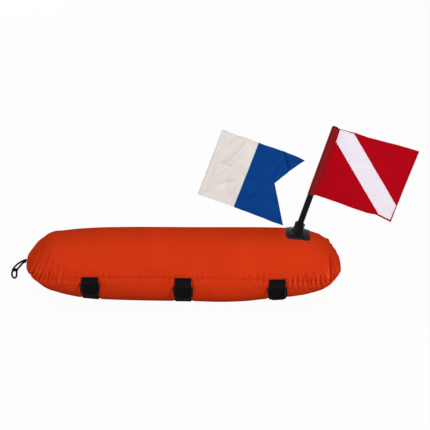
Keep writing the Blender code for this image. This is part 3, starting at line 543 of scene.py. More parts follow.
def rounded_rectangle(half_x, half_y, corner, steps=6):
    outline = []
    for turn, (side_x, side_y) in enumerate(((1, 1), (-1, 1), (-1, -1), (1, -1))):
        for i in range(steps + 1):
            angle = (turn + i / steps) * math.pi / 2
            x = side_x * (half_x - corner) + corner * math.cos(angle)
            y = side_y * (half_y - corner) + corner * math.sin(angle)
            outline.append((x, y))
    return outline


def inset_outline(outline, inset):
    moved = []
    for i, corner in enumerate(outline):
        before = Vector(outline[i - 1])
        here = Vector(corner)
        after = Vector(outline[(i + 1) % len(outline)])
        first = (here - before).normalized()
        second = (after - here).normalized()
        first_in = Vector((-first.y, first.x))
        middle = (first_in + Vector((-second.y, second.x))).normalized()
        moved.append(tuple(here + middle * inset / middle.dot(first_in)))
    return moved


def stitches(name, lines, carry, lifts, finish, body, slot):
    """Rows of sewing stitches along lines in (u, v), each a short pointed prism laid at carry(u, v, lift)."""
    step, length, radius = 0.0036, 0.0025, 0.00028
    work = bmesh.new()
    for line in lines:
        spots = [Vector(point) for point in line]
        reach = lengths_along(spots)
        count = max(1, int(reach[-1] / step))
        us = [p.x for p in spots]
        vs = [p.y for p in spots]
        for i in range(count):
            middle = (i + 0.5) * reach[-1] / count
            for lift in lifts:
                ends = []
                for share in (-0.5, -0.3, 0.3, 0.5):
                    at = middle + share * length
                    sink = radius * 1.2 if abs(share) == 0.5 else 0.0
                    height = lift - math.copysign(sink, lift)
                    u, v = (np.interp(at, reach, values) for values in (us, vs))
                    ends.append(carry(u, v, height))
                along = (ends[-1] - ends[0]).normalized()
                side = along.cross(Vector((0.3, 0.9, 0.2))).normalized() * radius
                other = along.cross(side).normalized() * radius
                rings = []
                for end, swell in zip(ends, (0.5, 1.0, 1.0, 0.5)):
                    out = (side * swell, other * swell)
                    ring = (end + out[0], end + out[1], end - out[0], end - out[1])
                    rings.append([work.verts.new(point) for point in ring])
                for a, b in zip(rings, rings[1:]):
                    for k in range(4):
                        work.faces.new((a[k], a[(k + 1) % 4], b[(k + 1) % 4], b[k]))
                work.faces.new(rings[0])
                work.faces.new(rings[-1])
    bmesh.ops.recalc_face_normals(work, faces=work.faces)
    return dress(mesh_from(work, name), finish, body, slot, angle=None)


# Cord


cord_route = (
    (-0.4846, 0.0, 0.1262),
    (-0.4910, 0.0006, 0.1250),
    (-0.5034, 0.0016, 0.1185),
    (-0.5114, 0.0020, 0.1128),
    (-0.5182, 0.0016, 0.1068),
    (-0.5232, 0.0006, 0.1013),
    (-0.5274, 0.0004, 0.0940),
    (-0.5300, 0.0, 0.0862),
    (-0.5314, 0.0004, 0.0800),
    (-0.5307, 0.0010, 0.0730),
    (-0.5276, 0.0012, 0.0672),
    (-0.5232, 0.0010, 0.0650),
    (-0.5192, 0.0006, 0.0680),
    (-0.5170, 0.0000, 0.0740),
    (-0.5166, -0.0004, 0.0802),
    (-0.5166, -0.0010, 0.0870),
    (-0.5142, -0.0016, 0.0954),
    (-0.5100, -0.0028, 0.1010),
    (-0.5050, -0.0036, 0.1071),
    (-0.5000, -0.0032, 0.1138),
    (-0.4925, -0.0014, 0.1193),
    (-0.4860, 0.0, 0.1199),
)
cord_radius = 0.0030
knot_place = Vector((-0.5222, 0.0, 0.0930))


def smooth_route(route, parts=3):
    spots = [Vector(point) for point in route]
    line = [spots[0] * 2 - spots[1]] + spots + [spots[-1] * 2 - spots[-2]]
    out = [spots[0]]
    for i in range(1, len(line) - 2):
        p0, p1, p2, p3 = line[i - 1 : i + 3]
        for k in range(1, parts + 1):
            t = k / parts
            straight = p1 * 2 + (p2 - p0) * t
            bent = (p0 * 2 - p1 * 5 + p2 * 4 - p3) * t**2 + (p1 * 3 - p0 - p2 * 3 + p3) * t**3
            out.append((straight + bent) / 2)
    return out


def cord_curve(name, points, radius, resolution=4):
    data = bpy.data.curves.new(name, "CURVE")
    data.dimensions = "3D"
    data.bevel_depth = radius
    data.bevel_resolution = resolution
    data.use_fill_caps = True
    line = data.splines.new("POLY")
    line.points.add(len(points) - 1)
    for spot, point in zip(line.points, points):
        spot.co = (*point, 1.0)
    return link(bpy.data.objects.new(name, data))


class FLOAT_OT_cord(Operator):
    """Lays the cord loop at the float's nose and ties its knot"""

    bl_idname = "float.cord"
    bl_label = "Nose Cord"

    def execute(self, context):
        points = smooth_route(cord_route)
        cord = cord_curve("nose_cord", points, cord_radius)
        # The knot's two turns, wound a little unevenly along the cord
        along = Vector((0.35, 0.0, 1.0)).normalized()
        wraps = []
        for i in range(40):
            turn = math.tau * 2.0 * i / 39
            wrap = 0.0046 + 0.0006 * math.sin(turn * 1.5)
            wound = Vector((math.cos(turn) * wrap * 1.35, math.sin(turn) * wrap * 1.05, 0.0))
            wraps.append(knot_place + wound + along * (0.0062 * (i / 39 - 0.5)))
        knot = cord_curve("nose_cord_knot", wraps, cord_radius * 0.92)
        dress(knot, "braided_polyester_cord", "float", "black_webbing", "nose_knot")
        nodes = ("nose_cord_upper", "nose_cord_lower", "nose_cord_eye")
        dress(cord, "braided_polyester_cord", "float", "black_webbing", *nodes)
        length = sum((b - a).length for a, b in zip(points, points[1:]))
        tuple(cord_route[0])
        return {"FINISHED"}


# Cover


def end_distance(x):
    return max(min(x + body_left_reach, body_length - body_left_reach - x), 0.0)


# How far round its middle each sewn-on piece holds the cover still, and where that hold has ended
strap_hold = 0.027
mast_hold = (0.036, 0.048)
valve_hold = 0.026
zip_hold = 0.016
hold_edge = 0.012


def calm_at(x, y, z):
    """1 where a sewn-on piece holds the cover still, 0 where it is free to wrinkle."""
    middle, seam = section(x)[2:]

    def inside(distance, reach):
        return clamp((reach + hold_edge - distance) / hold_edge)

    calm = 0.0
    if z < seam + 0.006:
        calm = max(inside(abs(x - place), strap_hold) for place in strap_places)
    if z > middle:
        along = inside(abs(x - mast_place), mast_hold[0])
        calm = max(calm, min(along, inside(abs(y), mast_hold[1])))
        valve = skin(valve_place, valve_turn)
        calm = max(calm, inside((Vector((x, y, z)) - valve).length, valve_hold))
    if y > 0 and zip_start - hold_edge < x < zip_end + hold_edge:
        calm = max(calm, inside(abs(z - seam), zip_hold))
    return calm


# How deep the straps press the belly in, how far beside their middle, and how softly that ends
strap_press = 0.003
press_reach = 0.031
press_edge = 0.004


def body_mesh(name, rows=250, half=70):
    """The body's plain surface as a closed mesh, pressed in under the straps."""
    fine = np.linspace(-body_left_reach, body_length - body_left_reach, 600)
    heights, widths, _, _ = section(fine)
    steps = np.sqrt(np.diff(fine) ** 2 + np.diff(heights) ** 2 + 0.3 * np.diff(widths) ** 2)
    from_end = np.minimum(fine[1:] + body_left_reach, body_length - body_left_reach - fine[1:])
    steps *= 1 + 1.2 * bell(from_end, 0.12)
    reach = np.concatenate([[0.0], np.cumsum(steps)])
    places = np.interp(np.linspace(0.0, reach[-1], rows + 1), reach, fine)
    rings = []
    for x in places:
        seam = seam_turn(x)
        turns = [seam * (2 * i / half - 1) for i in range(half)]
        turns += [seam + 2 * (math.pi - seam) * i / half for i in range(half)]
        near = min(abs(x - place) for place in strap_places)
        press = strap_press * clamp((press_reach - near) / press_edge)
        rings.append([skin(x, turn, press if i >= half else 0.0) for i, turn in enumerate(turns)])
    made = grid_piece(name, rings, closed=True)
    return mend(made, lambda work: bmesh.ops.remove_doubles(work, verts=work.verts, dist=0.0006))


def simulate_cover(made, looks):
    """Inflates the cover between its sewn seams, where spare cloth is eased in, so that it puckers."""
    ease_group = made.vertex_groups.new(name="ease")
    hold_group = made.vertex_groups.new(name="hold")
    for vertex in made.data.vertices:
        x, y, z = vertex.co
        end = end_distance(x)
        near = abs(z - section(x)[3])
        # Most of the spare cloth lies beside the seams near the ends
        spare = bell(near, 0.028) * (0.25 + 0.75 * bell(end, 0.15))
        ease_group.add([vertex.index], 1 - spare * (1 - calm_at(x, y, z)), "REPLACE")
        # The sewn line doesn't move, and the cloth far from it is held back by the air inside
        far = 0.02 + 0.5 * (1 - bell(near, 0.045 + 0.055 * bell(end, 0.08)))
        sewn = 1 - clamp((near - 0.004) / 0.006)
        hold_group.add([vertex.index], max(far, sewn), "REPLACE")
    cloth = made.modifiers.new("cloth", "CLOTH")
    settings = cloth.settings
    settings.quality = 5
    settings.mass = 0.15
    settings.tension_stiffness = 25
    settings.compression_stiffness = 25
    settings.shear_stiffness = 8
    settings.bending_stiffness = 0.05
    settings.use_pressure = True
    settings.uniform_pressure_force = 4
    settings.effector_weights.gravity = 0
    settings.vertex_group_mass = "hold"
    settings.vertex_group_shrink = "ease"
    settings.shrink_min = -looks.seam_ease
    settings.shrink_max = 0.0
    cloth.collision_settings.use_collision = False
    cloth.point_cache.frame_end = 30
    for step in range(1, 23):
        bpy.context.scene.frame_set(step)
    only(made)
    bpy.ops.object.modifier_apply(modifier="cloth")
    bpy.context.scene.frame_set(1)


def slow_part(mesh, moves, rounds=60):
    """The moves averaged over the surface round each point: the change of form without its creases."""
    ends = np.empty(len(mesh.edges) * 2, dtype=np.int64)
    mesh.edges.foreach_get("vertices", ends)
    one, other = ends.reshape(-1, 2).T
    count = np.bincount(ends, minlength=len(moves))
    slow = moves.copy()
    for _ in range(rounds):
        for axis in range(3):
            total = np.bincount(one, slow[other, axis], len(moves))
            total += np.bincount(other, slow[one, axis], len(moves))
            slow[:, axis] = (slow[:, axis] + total / count) / 2
    return slow


# How far the cover may be drawn in before its bladder would show, and how far it may stand out
deepest_fold = 0.0042
highest_ridge = 0.0035
# The groove that the sewing holds even: its depth, its width and its share of the puckers beside it
seam_depth = 0.0009
seam_reach = 0.0032
seam_hold = 0.85

# The deep puckers across the seams: place along the body, lean, depth, width, reach up and reach down
seam_puckers = (
    (-0.4657, 0.41, 0.0034, 0.0030, 0.075, 0.016),
    (-0.4540, 0.40, 0.0022, 0.0030, 0.050, 0.018),
    (-0.4400, 0.38, 0.0036, 0.0034, 0.078, 0.022),
    (-0.4275, 0.30, 0.0022, 0.0034, 0.052, 0.026),
    (-0.4134, 0.23, 0.0030, 0.0036, 0.070, 0.032),
    (-0.4010, 0.16, 0.0020, 0.0036, 0.048, 0.034),
    (-0.3887, 0.14, 0.0026, 0.0038, 0.062, 0.036),
    (-0.3790, -0.05, 0.0016, 0.0036, 0.036, 0.032),
    (-0.3690, 0.04, 0.0022, 0.0040, 0.054, 0.034),
    (-0.3560, 0.0, 0.0014, 0.0040, 0.040, 0.028),
    (-0.3440, 0.06, 0.0012, 0.0040, 0.034, 0.024),
    (-0.3310, 0.03, 0.0018, 0.0034, 0.020, 0.034),
    (-0.2440, -0.10, 0.0022, 0.0036, 0.022, 0.030),
    (-0.2290, 0.05, 0.0014, 0.0044, 0.044, 0.024),
    (-0.1340, -0.04, 0.0014, 0.0040, 0.016, 0.028),
    (-0.0560, 0.06, 0.0012, 0.0044, 0.040, 0.020),
    (-0.0430, 0.10, 0.0022, 0.0036, 0.024, 0.032),
    (0.0430, -0.10, 0.0022, 0.0036, 0.024, 0.032),
    (0.0580, 0.03, 0.0014, 0.0040, 0.030, 0.026),
    (0.1010, 0.05, 0.0010, 0.0046, 0.030, 0.022),
    (0.2050, -0.04, 0.0014, 0.0044, 0.034, 0.024),
    (0.2290, 0.03, 0.0018, 0.0040, 0.040, 0.026),
    (0.2460, 0.08, 0.0024, 0.0036, 0.022, 0.034),
    (0.3225, 0.0, 0.0026, 0.0034, 0.012, 0.030),
    (0.3363, 0.04, 0.0040, 0.0038, 0.010, 0.034),
    (0.3517, -0.03, 0.0044, 0.0038, 0.014, 0.038),
    (0.3670, 0.02, 0.0044, 0.0038, 0.010, 0.038),
    (0.3820, 0.0, 0.0036, 0.0036, 0.016, 0.034),
    (0.3920, -0.04, 0.0044, 0.0034, 0.010, 0.036),
    (0.4065, -0.04, 0.0046, 0.0036, 0.014, 0.034),
    (0.4220, -0.08, 0.0046, 0.0036, 0.012, 0.030),
    (0.4358, -0.10, 0.0042, 0.0032, 0.016, 0.024),
    (0.3750, 0.03, 0.0014, 0.0046, 0.046, 0.010),
    (0.3990, -0.02, 0.0014, 0.0046, 0.050, 0.010),
    (0.4270, -0.10, 0.0018, 0.0042, 0.044, 0.010),
    (0.4660, -0.28, 0.0030, 0.0026, 0.050, 0.016),
)


# Folds in the cover's crown beside its right end: place, lean, depth, width and the heights over the seam
crown_folds = (
    (0.4225, -0.10, -0.0016, 0.0060, 0.050, 0.110),
    (0.4485, -0.04, -0.0036, 0.0046, -0.010, 0.100),
    (0.4562, -0.02, 0.0080, 0.0042, -0.020, 0.078),
    (0.4625, -0.08, -0.0030, 0.0034, 0.000, 0.080),
    (0.4695, -0.14, 0.0044, 0.0030, 0.004, 0.070),
    (0.4380, -0.55, 0.0016, 0.0034, 0.040, 0.090),
)


def puckers(x, y, z):
    """How far in the sewing draws the cover beside its seams, at points of the surface."""
    height = z - section(x)[3]
    side = np.where(y > 0, 0.0021, 0.0)
    drawn = np.zeros(len(x))
    for spot, lean, depth, width, up, down in seam_puckers:
        away = np.abs(height) / np.where(height > 0, up, down)
        off = np.abs(x - spot - side - lean * height) / (width * (1 + 0.45 * away))
        fade = depth * np.exp(-1.5 * away**2)
        drawn = drawn + fade * (bell(off, 1.0) - 0.5 * bell(off - 1.8, 1.0))
    for spot, lean, depth, width, low, high in crown_folds:
        fade = depth * np.clip((height - low) / 0.018, 0, 1) * np.clip((high - height) / 0.03, 0, 1)
        drawn = drawn + fade * bell(x - spot - side - lean * (height - low), width)
    sewn = bell(height, seam_reach)
    return drawn * (1 - seam_hold * sewn) + seam_depth * sewn


def fine_pucker(x, y, height):
    """The small puckers that run all along the seams."""
    ends = 0.35 + 0.65 * bell(end_distance(x), 0.14)
    ripple = noise.noise(Vector((x * 105, math.copysign(7.0, y), height * 9)))
    slow = noise.noise(Vector((x * 38, math.copysign(3.0, y), height * 14)))
    return ends * (0.0016 * ripple * bell(height, 0.024) + 0.0012 * slow * bell(height, 0.04))


class FLOAT_OT_cover(Operator):
    """Models the inflated nylon cover, with puckers beside its seams and a slot for the zip"""

    bl_idname = "float.cover"
    bl_label = "Cover"

    def execute(self, context):
        looks = context.scene.float_looks
        made = body_mesh("cover")
        plain = link(bpy.data.objects.new("cover_plain", made.data.copy()))
        start = [vertex.co.copy() for vertex in made.data.vertices]
        simulate_cover(made, looks)
        ends = [vertex.co.copy() for vertex in made.data.vertices]
        moves = np.array([tuple(after - before) for before, after in zip(start, ends)])
        moves -= slow_part(made.data, moves)
        lengths = np.maximum(np.linalg.norm(moves, axis=1), 1e-9)
        moves *= np.minimum(looks.wrinkle_cap / lengths, 1.0)[:, None]
        for vertex, before, move in zip(made.data.vertices, start, moves):
            vertex.co = before + Vector(move)
        made.vertex_groups.clear()
        for item in (made, plain):
            only(item)
            finer = item.modifiers.new("finer", "SUBSURF")
            finer.levels = 1
            finer.render_levels = 1
            bpy.ops.object.modifier_apply(modifier="finer")
        self.gather(made, plain)
        bpy.data.objects.remove(plain)
        self.cut_slot(made)
        nodes = ("cover_top_panel", "cover_belly_panel")
        dress(made, "coated_nylon_taffeta", "float", "cover_nylon", *nodes, angle=85)
        return {"FINISHED"}

    def gather(self, made, plain):
        """Draws in the puckers that the sewing makes, and keeps the cover outside its bladder."""
        spots = np.array([tuple(vertex.co) for vertex in plain.data.vertices])
        moved = np.array([tuple(vertex.co) for vertex in made.data.vertices]) - spots
        normals = np.array([tuple(vertex.normal) for vertex in plain.data.vertices])
        x, y, z = spots.T
        drawn = puckers(x, y, z)
        heights = z - section(x)[3]
        for i, spot in enumerate(spots):
            tip = clamp((end_distance(spot[0]) - 0.002) / 0.010)
            free = tip * (1 - calm_at(*spot))
            moved[i] *= free
            drawn[i] = free * (drawn[i] + fine_pucker(spot[0], spot[1], heights[i]))
        sunk = -(moved * normals).sum(axis=1)
        slant = np.linalg.norm(normals[:, 1:], axis=1)
        total = np.clip(sunk + drawn, -highest_ridge, deepest_fold * slant)
        # The finish reads how deep each point lies, to paint shade into folds and a highlight on ridges, the
        # highlight only near the seam
        painted_crease_shade = made.data.attributes.new("crease", "FLOAT", "POINT")
        painted_shade_depth = np.where(drawn < 0, drawn * bell(heights, 0.035), drawn)
        # A thin dark line of painted shade along the seam
        painted_shade_depth += 0.0012 * bell(heights, 0.0035)
        painted_crease_shade.data.foreach_set("value", np.clip(painted_shade_depth / deepest_fold, -1.0, 1.0))
        places = spots + moved + normals * (sunk - total)[:, None]
        places[:, 2] = np.maximum(places[:, 2], 0.0003)
        made.data.vertices.foreach_set("co", places.ravel())
        made.data.update()

    def cut_slot(self, made):
        """Cuts the slot that shows the zip in the far seam."""
        start, end = section(zip_start)[3], section(zip_end)[3]
        rise = (end - start) / (zip_end - zip_start)
        place = ((zip_start + zip_end) / 2, body_half_width + 0.003, (start + end) / 2)
        deselect()
        bpy.ops.mesh.primitive_cube_add(size=1.0, location=place)
        tool = bpy.context.active_object
        tool.scale = (zip_end - zip_start + 0.0086, 0.0135, 0.0112)
        tool.rotation_euler = (0.0, -math.atan(rise), 0.0)
        carve(made, tool)


welt_radius = 0.0011
welt_lift = 0.0005


class FLOAT_OT_seams(Operator):
    """Lays the seam's welt on the cover, apart from the zip's slot"""

    bl_idname = "float.seams"
    bl_label = "Cover Seams"

    def execute(self, context):
        cover = bpy.data.objects["cover"]
        tree = BVHTree.FromObject(cover, context.evaluated_depsgraph_get())
        margin = 0.0030
        left, right = -body_left_reach + margin, body_length - body_left_reach - margin
        laid = []
        for side in (1, -1):
            line = []
            for x in np.linspace(left, right, 330):
                turn = side * seam_turn(x)
                line.append((skin(x, turn), skin_normal(x, turn)))
            laid += line[::side]
        depths = [self.depth(tree, spot, normal) for spot, normal in laid]
        count = len(laid)
        even = [sum(depths[(i + k) % count] for k in range(-3, 4)) / 7 for i in range(count)]
        points = [spot + normal * (welt_lift - deep) for (spot, normal), deep in zip(laid, even)]
        points = [point for point in points if not self.in_slot(point)]
        # The welt is one open line, which starts where the slot has left the largest gap
        first = max(range(len(points)), key=lambda i: (points[i] - points[i - 1]).length)
        points = points[first:] + points[:first]
        welt = cord_curve("cover_seam_welt", points, welt_radius, resolution=1)
        only(welt)
        bpy.ops.object.convert(target="MESH")
        welt = bpy.context.active_object
        dress(welt, "coated_nylon_taffeta", "float", "cover_nylon")
        return {"FINISHED"}

    def depth(self, tree, spot, normal):
        """How deep the cover lies under a point of the plain seam."""
        found = tree.ray_cast(spot + normal * 0.008, -normal, 0.016)[0]
        return (spot - found).dot(normal) if found else 0.001

    def in_slot(self, spot):
        return spot.y > 0 and zip_start - 0.006 < spot.x < zip_end + 0.011


# Webbing and rings


def ring_bar(middle, drop):
    turn = seam_turn(middle) + drop / body_half_width
    half = webbing_width / 2
    along = skin(middle + half, turn) - skin(middle - half, turn)
    centre = on_skin(middle, turn, 0.0006 + webbing_thickness + ring_radius)
    return turn, frame_matrix(centre, along, along.cross(Vector((0.0, 1.0, 0.0))))


def band_profile(half_width, half_thickness, columns=12):
    """A webbing's section: flat faces, round edges, as (across, out) points."""
    flat = 2 * half_width - 2 * half_thickness
    left = -half_width + half_thickness
    upper = [(left + flat * i / columns, half_thickness) for i in range(columns + 1)]
    edge = [
        (half_width - half_thickness + half_thickness * math.sin(a), half_thickness * math.cos(a))
        for a in (math.pi / 4, math.pi / 2, 3 * math.pi / 4)
    ]
    half = upper + edge
    return half + [(-across, -out) for across, out in half]


def band(name, path, half_width, half_thickness):
    """A length of webbing along path, a list of (place, across, out) with unit directions."""
    profile = band_profile(half_width, half_thickness)
    reach = lengths_along([place for place, _, _ in path])
    girth = lengths_along(profile + profile[:1])
    rows = [[place + across * s + out * t for s, t in profile] for place, across, out in path]
    made = grid_piece(name, rows, uv=lambda r, c: (reach[r], girth[c]), closed=True)

    def close_ends(work):
        bmesh.ops.holes_fill(work, edges=[edge for edge in work.edges if edge.is_boundary])

    return mend(made, close_ends)


class FLOAT_OT_straps(Operator):
    """Models the webbing straps that pass under the belly"""

    bl_idname = "float.straps"
    bl_label = "Straps"

    def execute(self, context):
        looks = context.scene.float_looks
        for name, middle in zip(ring_names, strap_places):
            start = seam_turn(middle) + 0.0006 / body_half_width
            end = math.tau - start
            # The right strap stands further off the belly and lies straighter under it
            bulge, straight = (1.5, 0.6) if name == "right" else (0.4, 0.0)
            path = []
            for i in range(73):
                turn = start + (end - start) * i / 72
                under = math.sin(math.pi * i / 72)
                side = (skin(middle + 0.024, turn) - skin(middle - 0.024, turn)).normalized()
                out = skin_normal(middle, turn)
                if skin(middle, turn).z < 0.0002:
                    out = Vector((0.0, 0.0, -1.0))
                    side = Vector((1.0, 0.0, 0.0))
                if straight:
                    side = side.lerp(Vector((1.0, 0.0, 0.0)), straight * under).normalized()
                proud = looks.strap_bulge * under * bulge
                place = skin(middle, turn) + out * (proud - webbing_thickness / 2)
                place.z = max(place.z, webbing_thickness / 2)
                path.append((place, side, out))
            made = band(f"webbing_{name}", path, webbing_width / 2, webbing_thickness / 2)
            dress(made, "polypropylene_webbing", "float", "black_webbing", f"strap_{name}")
        return {"FINISHED"}


class FLOAT_OT_keepers(Operator):
    """Folds a length of webbing round each ring's bar and sews it down"""

    bl_idname = "float.keepers"
    bl_label = "Ring Keepers"

    def execute(self, context):
        for name, middle, drop in zip(ring_names, strap_places, ring_drops):
            turn, bar = ring_bar(middle, drop)
            side = bar.col[0].xyz.normalized()
            centre = bar.translation
            top = seam_turn(middle) + keeper_start / body_half_width
            neck = turn - keeper_neck / body_half_width
            half = webbing_thickness / 2
            path = []
            for i in range(10):
                angle = top + (turn - top) * i / 9
                out = skin_normal(middle, angle)
                path.append((on_skin(middle, angle, under_lift + half), side, out * -1))
            inward = skin_normal(middle, turn) * -1
            down = side.cross(inward)
            if down.z > 0:
                down *= -1
            radius = ring_radius + 0.0002 + half
            for i in range(1, 16):
                angle = math.pi * i / 16
                away = inward * math.cos(angle) + down * math.sin(angle)
                path.append((centre + away * radius, side, away))
            for i in range(8):
                share = i / 7
                angle = turn + (neck - turn) * share
                lift = bar_lift - (bar_lift - neck_lift) * (3 * share**2 - 2 * share**3)
                path.append((on_skin(middle, angle, lift), side, skin_normal(middle, angle)))
            for i in range(1, 6):
                angle = neck + (top - neck) * i / 5
                path.append((on_skin(middle, angle, over_lift), side, skin_normal(middle, angle)))
            made = band(f"keeper_{name}", path, keeper_half_width, half)
            dress(made, "polypropylene_webbing", "float", "black_webbing", f"ring_keeper_{name}")

            def carry(u, v, lift):
                return on_skin(middle + u, top + v / body_half_width, lift)

            # A sewn box with its two diagonals
            edge, near = keeper_half_width - 0.003, 0.0015
            deep = (neck - top) * body_half_width - 0.001
            box = [(-edge, near), (edge, near), (edge, deep), (-edge, deep)]
            lines = (box + box[:1], box[::2], box[::-2])
            look = ("thread_black", "float", "black_webbing")
            stitches(f"keeper_stitching_{name}", lines, carry, (0.0047,), *look)
        return {"FINISHED"}


class FLOAT_OT_rings(Operator):
    """Models the moulded D-rings that hang in their keepers"""

    bl_idname = "float.rings"
    bl_label = "D-Rings"

    def execute(self, context):
        for name, middle, drop, shift in zip(ring_names, strap_places, ring_drops, ring_shifts):
            _, bar = ring_bar(middle, drop)
            deselect()
            bpy.ops.mesh.primitive_plane_add(size=1.0, location=(0.0, 0.0, 0.0))
            ring = bpy.context.active_object
            ring.name = f"ring_{name}"
            ring.data.name = ring.name
            ring.scale = (ring_width, ring_height, 1.0)
            bpy.ops.object.transform_apply(location=False, rotation=False, scale=True)
            bpy.ops.object.mode_set(mode="EDIT")
            for side, radius, segments in ring_corners:
                self.round_corners(ring, side, radius, segments)
            bpy.ops.mesh.select_all(action="SELECT")
            bpy.ops.mesh.delete(type="ONLY_FACE")
            bpy.ops.object.mode_set(mode="OBJECT")
            bpy.ops.object.convert(target="CURVE")
            ring.data.bevel_depth = ring_radius
            ring.data.bevel_resolution = 5
            hung = Matrix.Translation((shift, -ring_height / 2, 0.0))
            ring.matrix_world = bar @ Matrix.Rotation(math.pi / 2, 4, "X") @ hung
            bpy.ops.object.convert(target="MESH")
            settle(ring)
            dress(ring, "moulded_acetal", f"ring_{name}", "black_plastic", f"d_ring_{name}")
        return {"FINISHED"}

    def round_corners(self, ring, side, radius, segments):
        """Bevels the ring outline's two upper corners, at side 1, or its two lower ones, at side -1."""
        work = bmesh.from_edit_mesh(ring.data)

        def choose():
            for vertex in work.verts:
                vertex.select = side * vertex.co.y > 0.48 * ring_height

        choose()
        work.select_flush(False)
        choose()
        bmesh.update_edit_mesh(ring.data)
        bpy.ops.mesh.bevel(offset=radius, segments=segments, affect="VERTICES")


# Patches


def crown_carry(u, v, lift=0.0003):
    return on_skin(mast_place + 0.0015 + u, -v / body_half_height, lift)


class FLOAT_OT_patches(Operator):
    """Models the patches under the mast foot and round the valve"""

    bl_idname = "float.patches"
    bl_label = "Patches"

    def execute(self, context):
        outline = rounded_rectangle(*mast_patch_half, mast_patch_corner)
        patch = cloth_panel("mast_foot_patch", outline, 0.004, crown_carry, 0.0012, 1.0)
        self.soften(patch, 0.0004)
        dress(patch, "rubber_coated_patch", "float", "black_rubber", "mast_patch")
        line = inset_outline(outline, 0.0035)
        lines = (line + line[:1],)
        look = ("thread_black", "float", "black_rubber")
        stitches("mast_foot_patch_stitching", lines, crown_carry, (0.0016,), *look)

        def carry(u, v, lift=0.0003):
            return on_skin(valve_place + u, valve_turn - v / body_half_width, lift)

        outline = circle(valve_patch_radius, 48)
        disc = cloth_panel("valve_ring_patch", outline, 0.004, carry, 0.0009, 1.0)
        deselect()
        bpy.ops.mesh.primitive_cylinder_add(vertices=48, radius=valve_opening, depth=0.03)
        tool = bpy.context.active_object
        out = skin_normal(valve_place, valve_turn)
        tool.matrix_world = frame_matrix(skin(valve_place, valve_turn), (1, 0, 0), out)
        carve(disc, tool)
        dress(disc, "coated_nylon_taffeta", "float", "cover_nylon", "valve_patch")
        rows = [circle(radius, 40, closed=True) for radius in (0.0215, 0.0125)]
        look = ("thread_orange", "float", "cover_nylon")
        stitches("valve_patch_stitching", rows, carry, (0.0013,), *look)
        return {"FINISHED"}

    def soften(self, item, width):
        """Rounds the sharp edges of a moulded piece."""
        only(item)
        edge = item.modifiers.new("edge", "BEVEL")
        edge.width = width
        edge.segments = 2
        edge.limit_method = "ANGLE"
        edge.angle_limit = math.radians(60)
        bpy.ops.object.modifier_apply(modifier="edge")


# Flags


def crease_depth(u, v, crease):
    """How far a crease pushes the cloth back at (u, v): a soft valley that fades out at its ends."""
    start, end, depth, width = crease
    start, end, spot = Vector(start), Vector(end), Vector((u, v))
    along = end - start
    share = (spot - start).dot(along) / along.length_squared
    aside = (spot - start - along * share).length
    if aside > 3 * width:
        return 0.0
    fade = clamp(min(share + 0.25, 1.25 - share) / 0.4)
    return depth * fade * fade * (3 - 2 * fade) * bell(aside, width)


def flag_carry(place, fly, depth, seed, creases=(), rumple=0.0022, curl=0.0):
    """Carries a flag's (outwards, up) to space with its slow folds, its creases and small ripples."""

    def carry(u, v, lift=0.0):
        share = max(u / fly, 0.0)
        fold = depth * share * math.sin(math.tau * (0.85 * share + 0.55 * v / fly))
        fold += sum(crease_depth(u, v, crease) for crease in creases)
        fold -= curl * max((share - 0.75) / 0.25, 0.0) ** 2 * clamp(v / fly * 2 - 0.7)
        ripple = noise.noise(Vector((u * 26 + seed, v * 26, seed)))
        ripple *= rumple * min(share * 4, 1.0)
        return place @ Vector((u, fold + ripple + lift, v))

    return carry


def sleeve_path(half_across, half_deep, tail, thickness):
    """The middle line of a sleeve's cloth, seen along the mast, from one side of its tail to the other."""
    line = [(tail, thickness * 0.75), (tail * 0.72, thickness + half_deep * 0.16)]
    start = math.radians(52)
    for i in range(25):
        angle = start + (math.tau - 2 * start) * i / 24
        line.append((half_across * math.cos(angle), half_deep * math.sin(angle)))
    line += [(tail * 0.72, -thickness - half_deep * 0.16), (tail, -thickness * 0.75)]
    return line


def sleeve(name, place, half_across, half_deep, tail, low, high, seed):
    """A sewn sleeve of cloth, open at both ends."""
    thickness = flag_cloth
    line = sleeve_path(half_across, half_deep, tail, thickness)
    reach = lengths_along(line)
    rows = []
    count = int((high - low) / 0.004)
    for r in range(count + 1):
        height = low + (high - low) * r / count
        row = []
        for u, w in line:
            slack = 1 + 0.045 * noise.noise(Vector((u * 160, w * 160 + seed, height * 42)))
            row.append(place @ Vector((u * slack if u < tail * 0.7 else u, w * slack, height)))
        rows.append(row)
    made = grid_piece(name, rows, uv=lambda r, c: (reach[c], (high - low) * r / count))
    return thicken(made, thickness, even=False)


def ends_at(line, u):
    """The line with its first and last points moved to u."""
    return [(u, line[0][1])] + line[1:-1] + [(u, line[-1][1])]


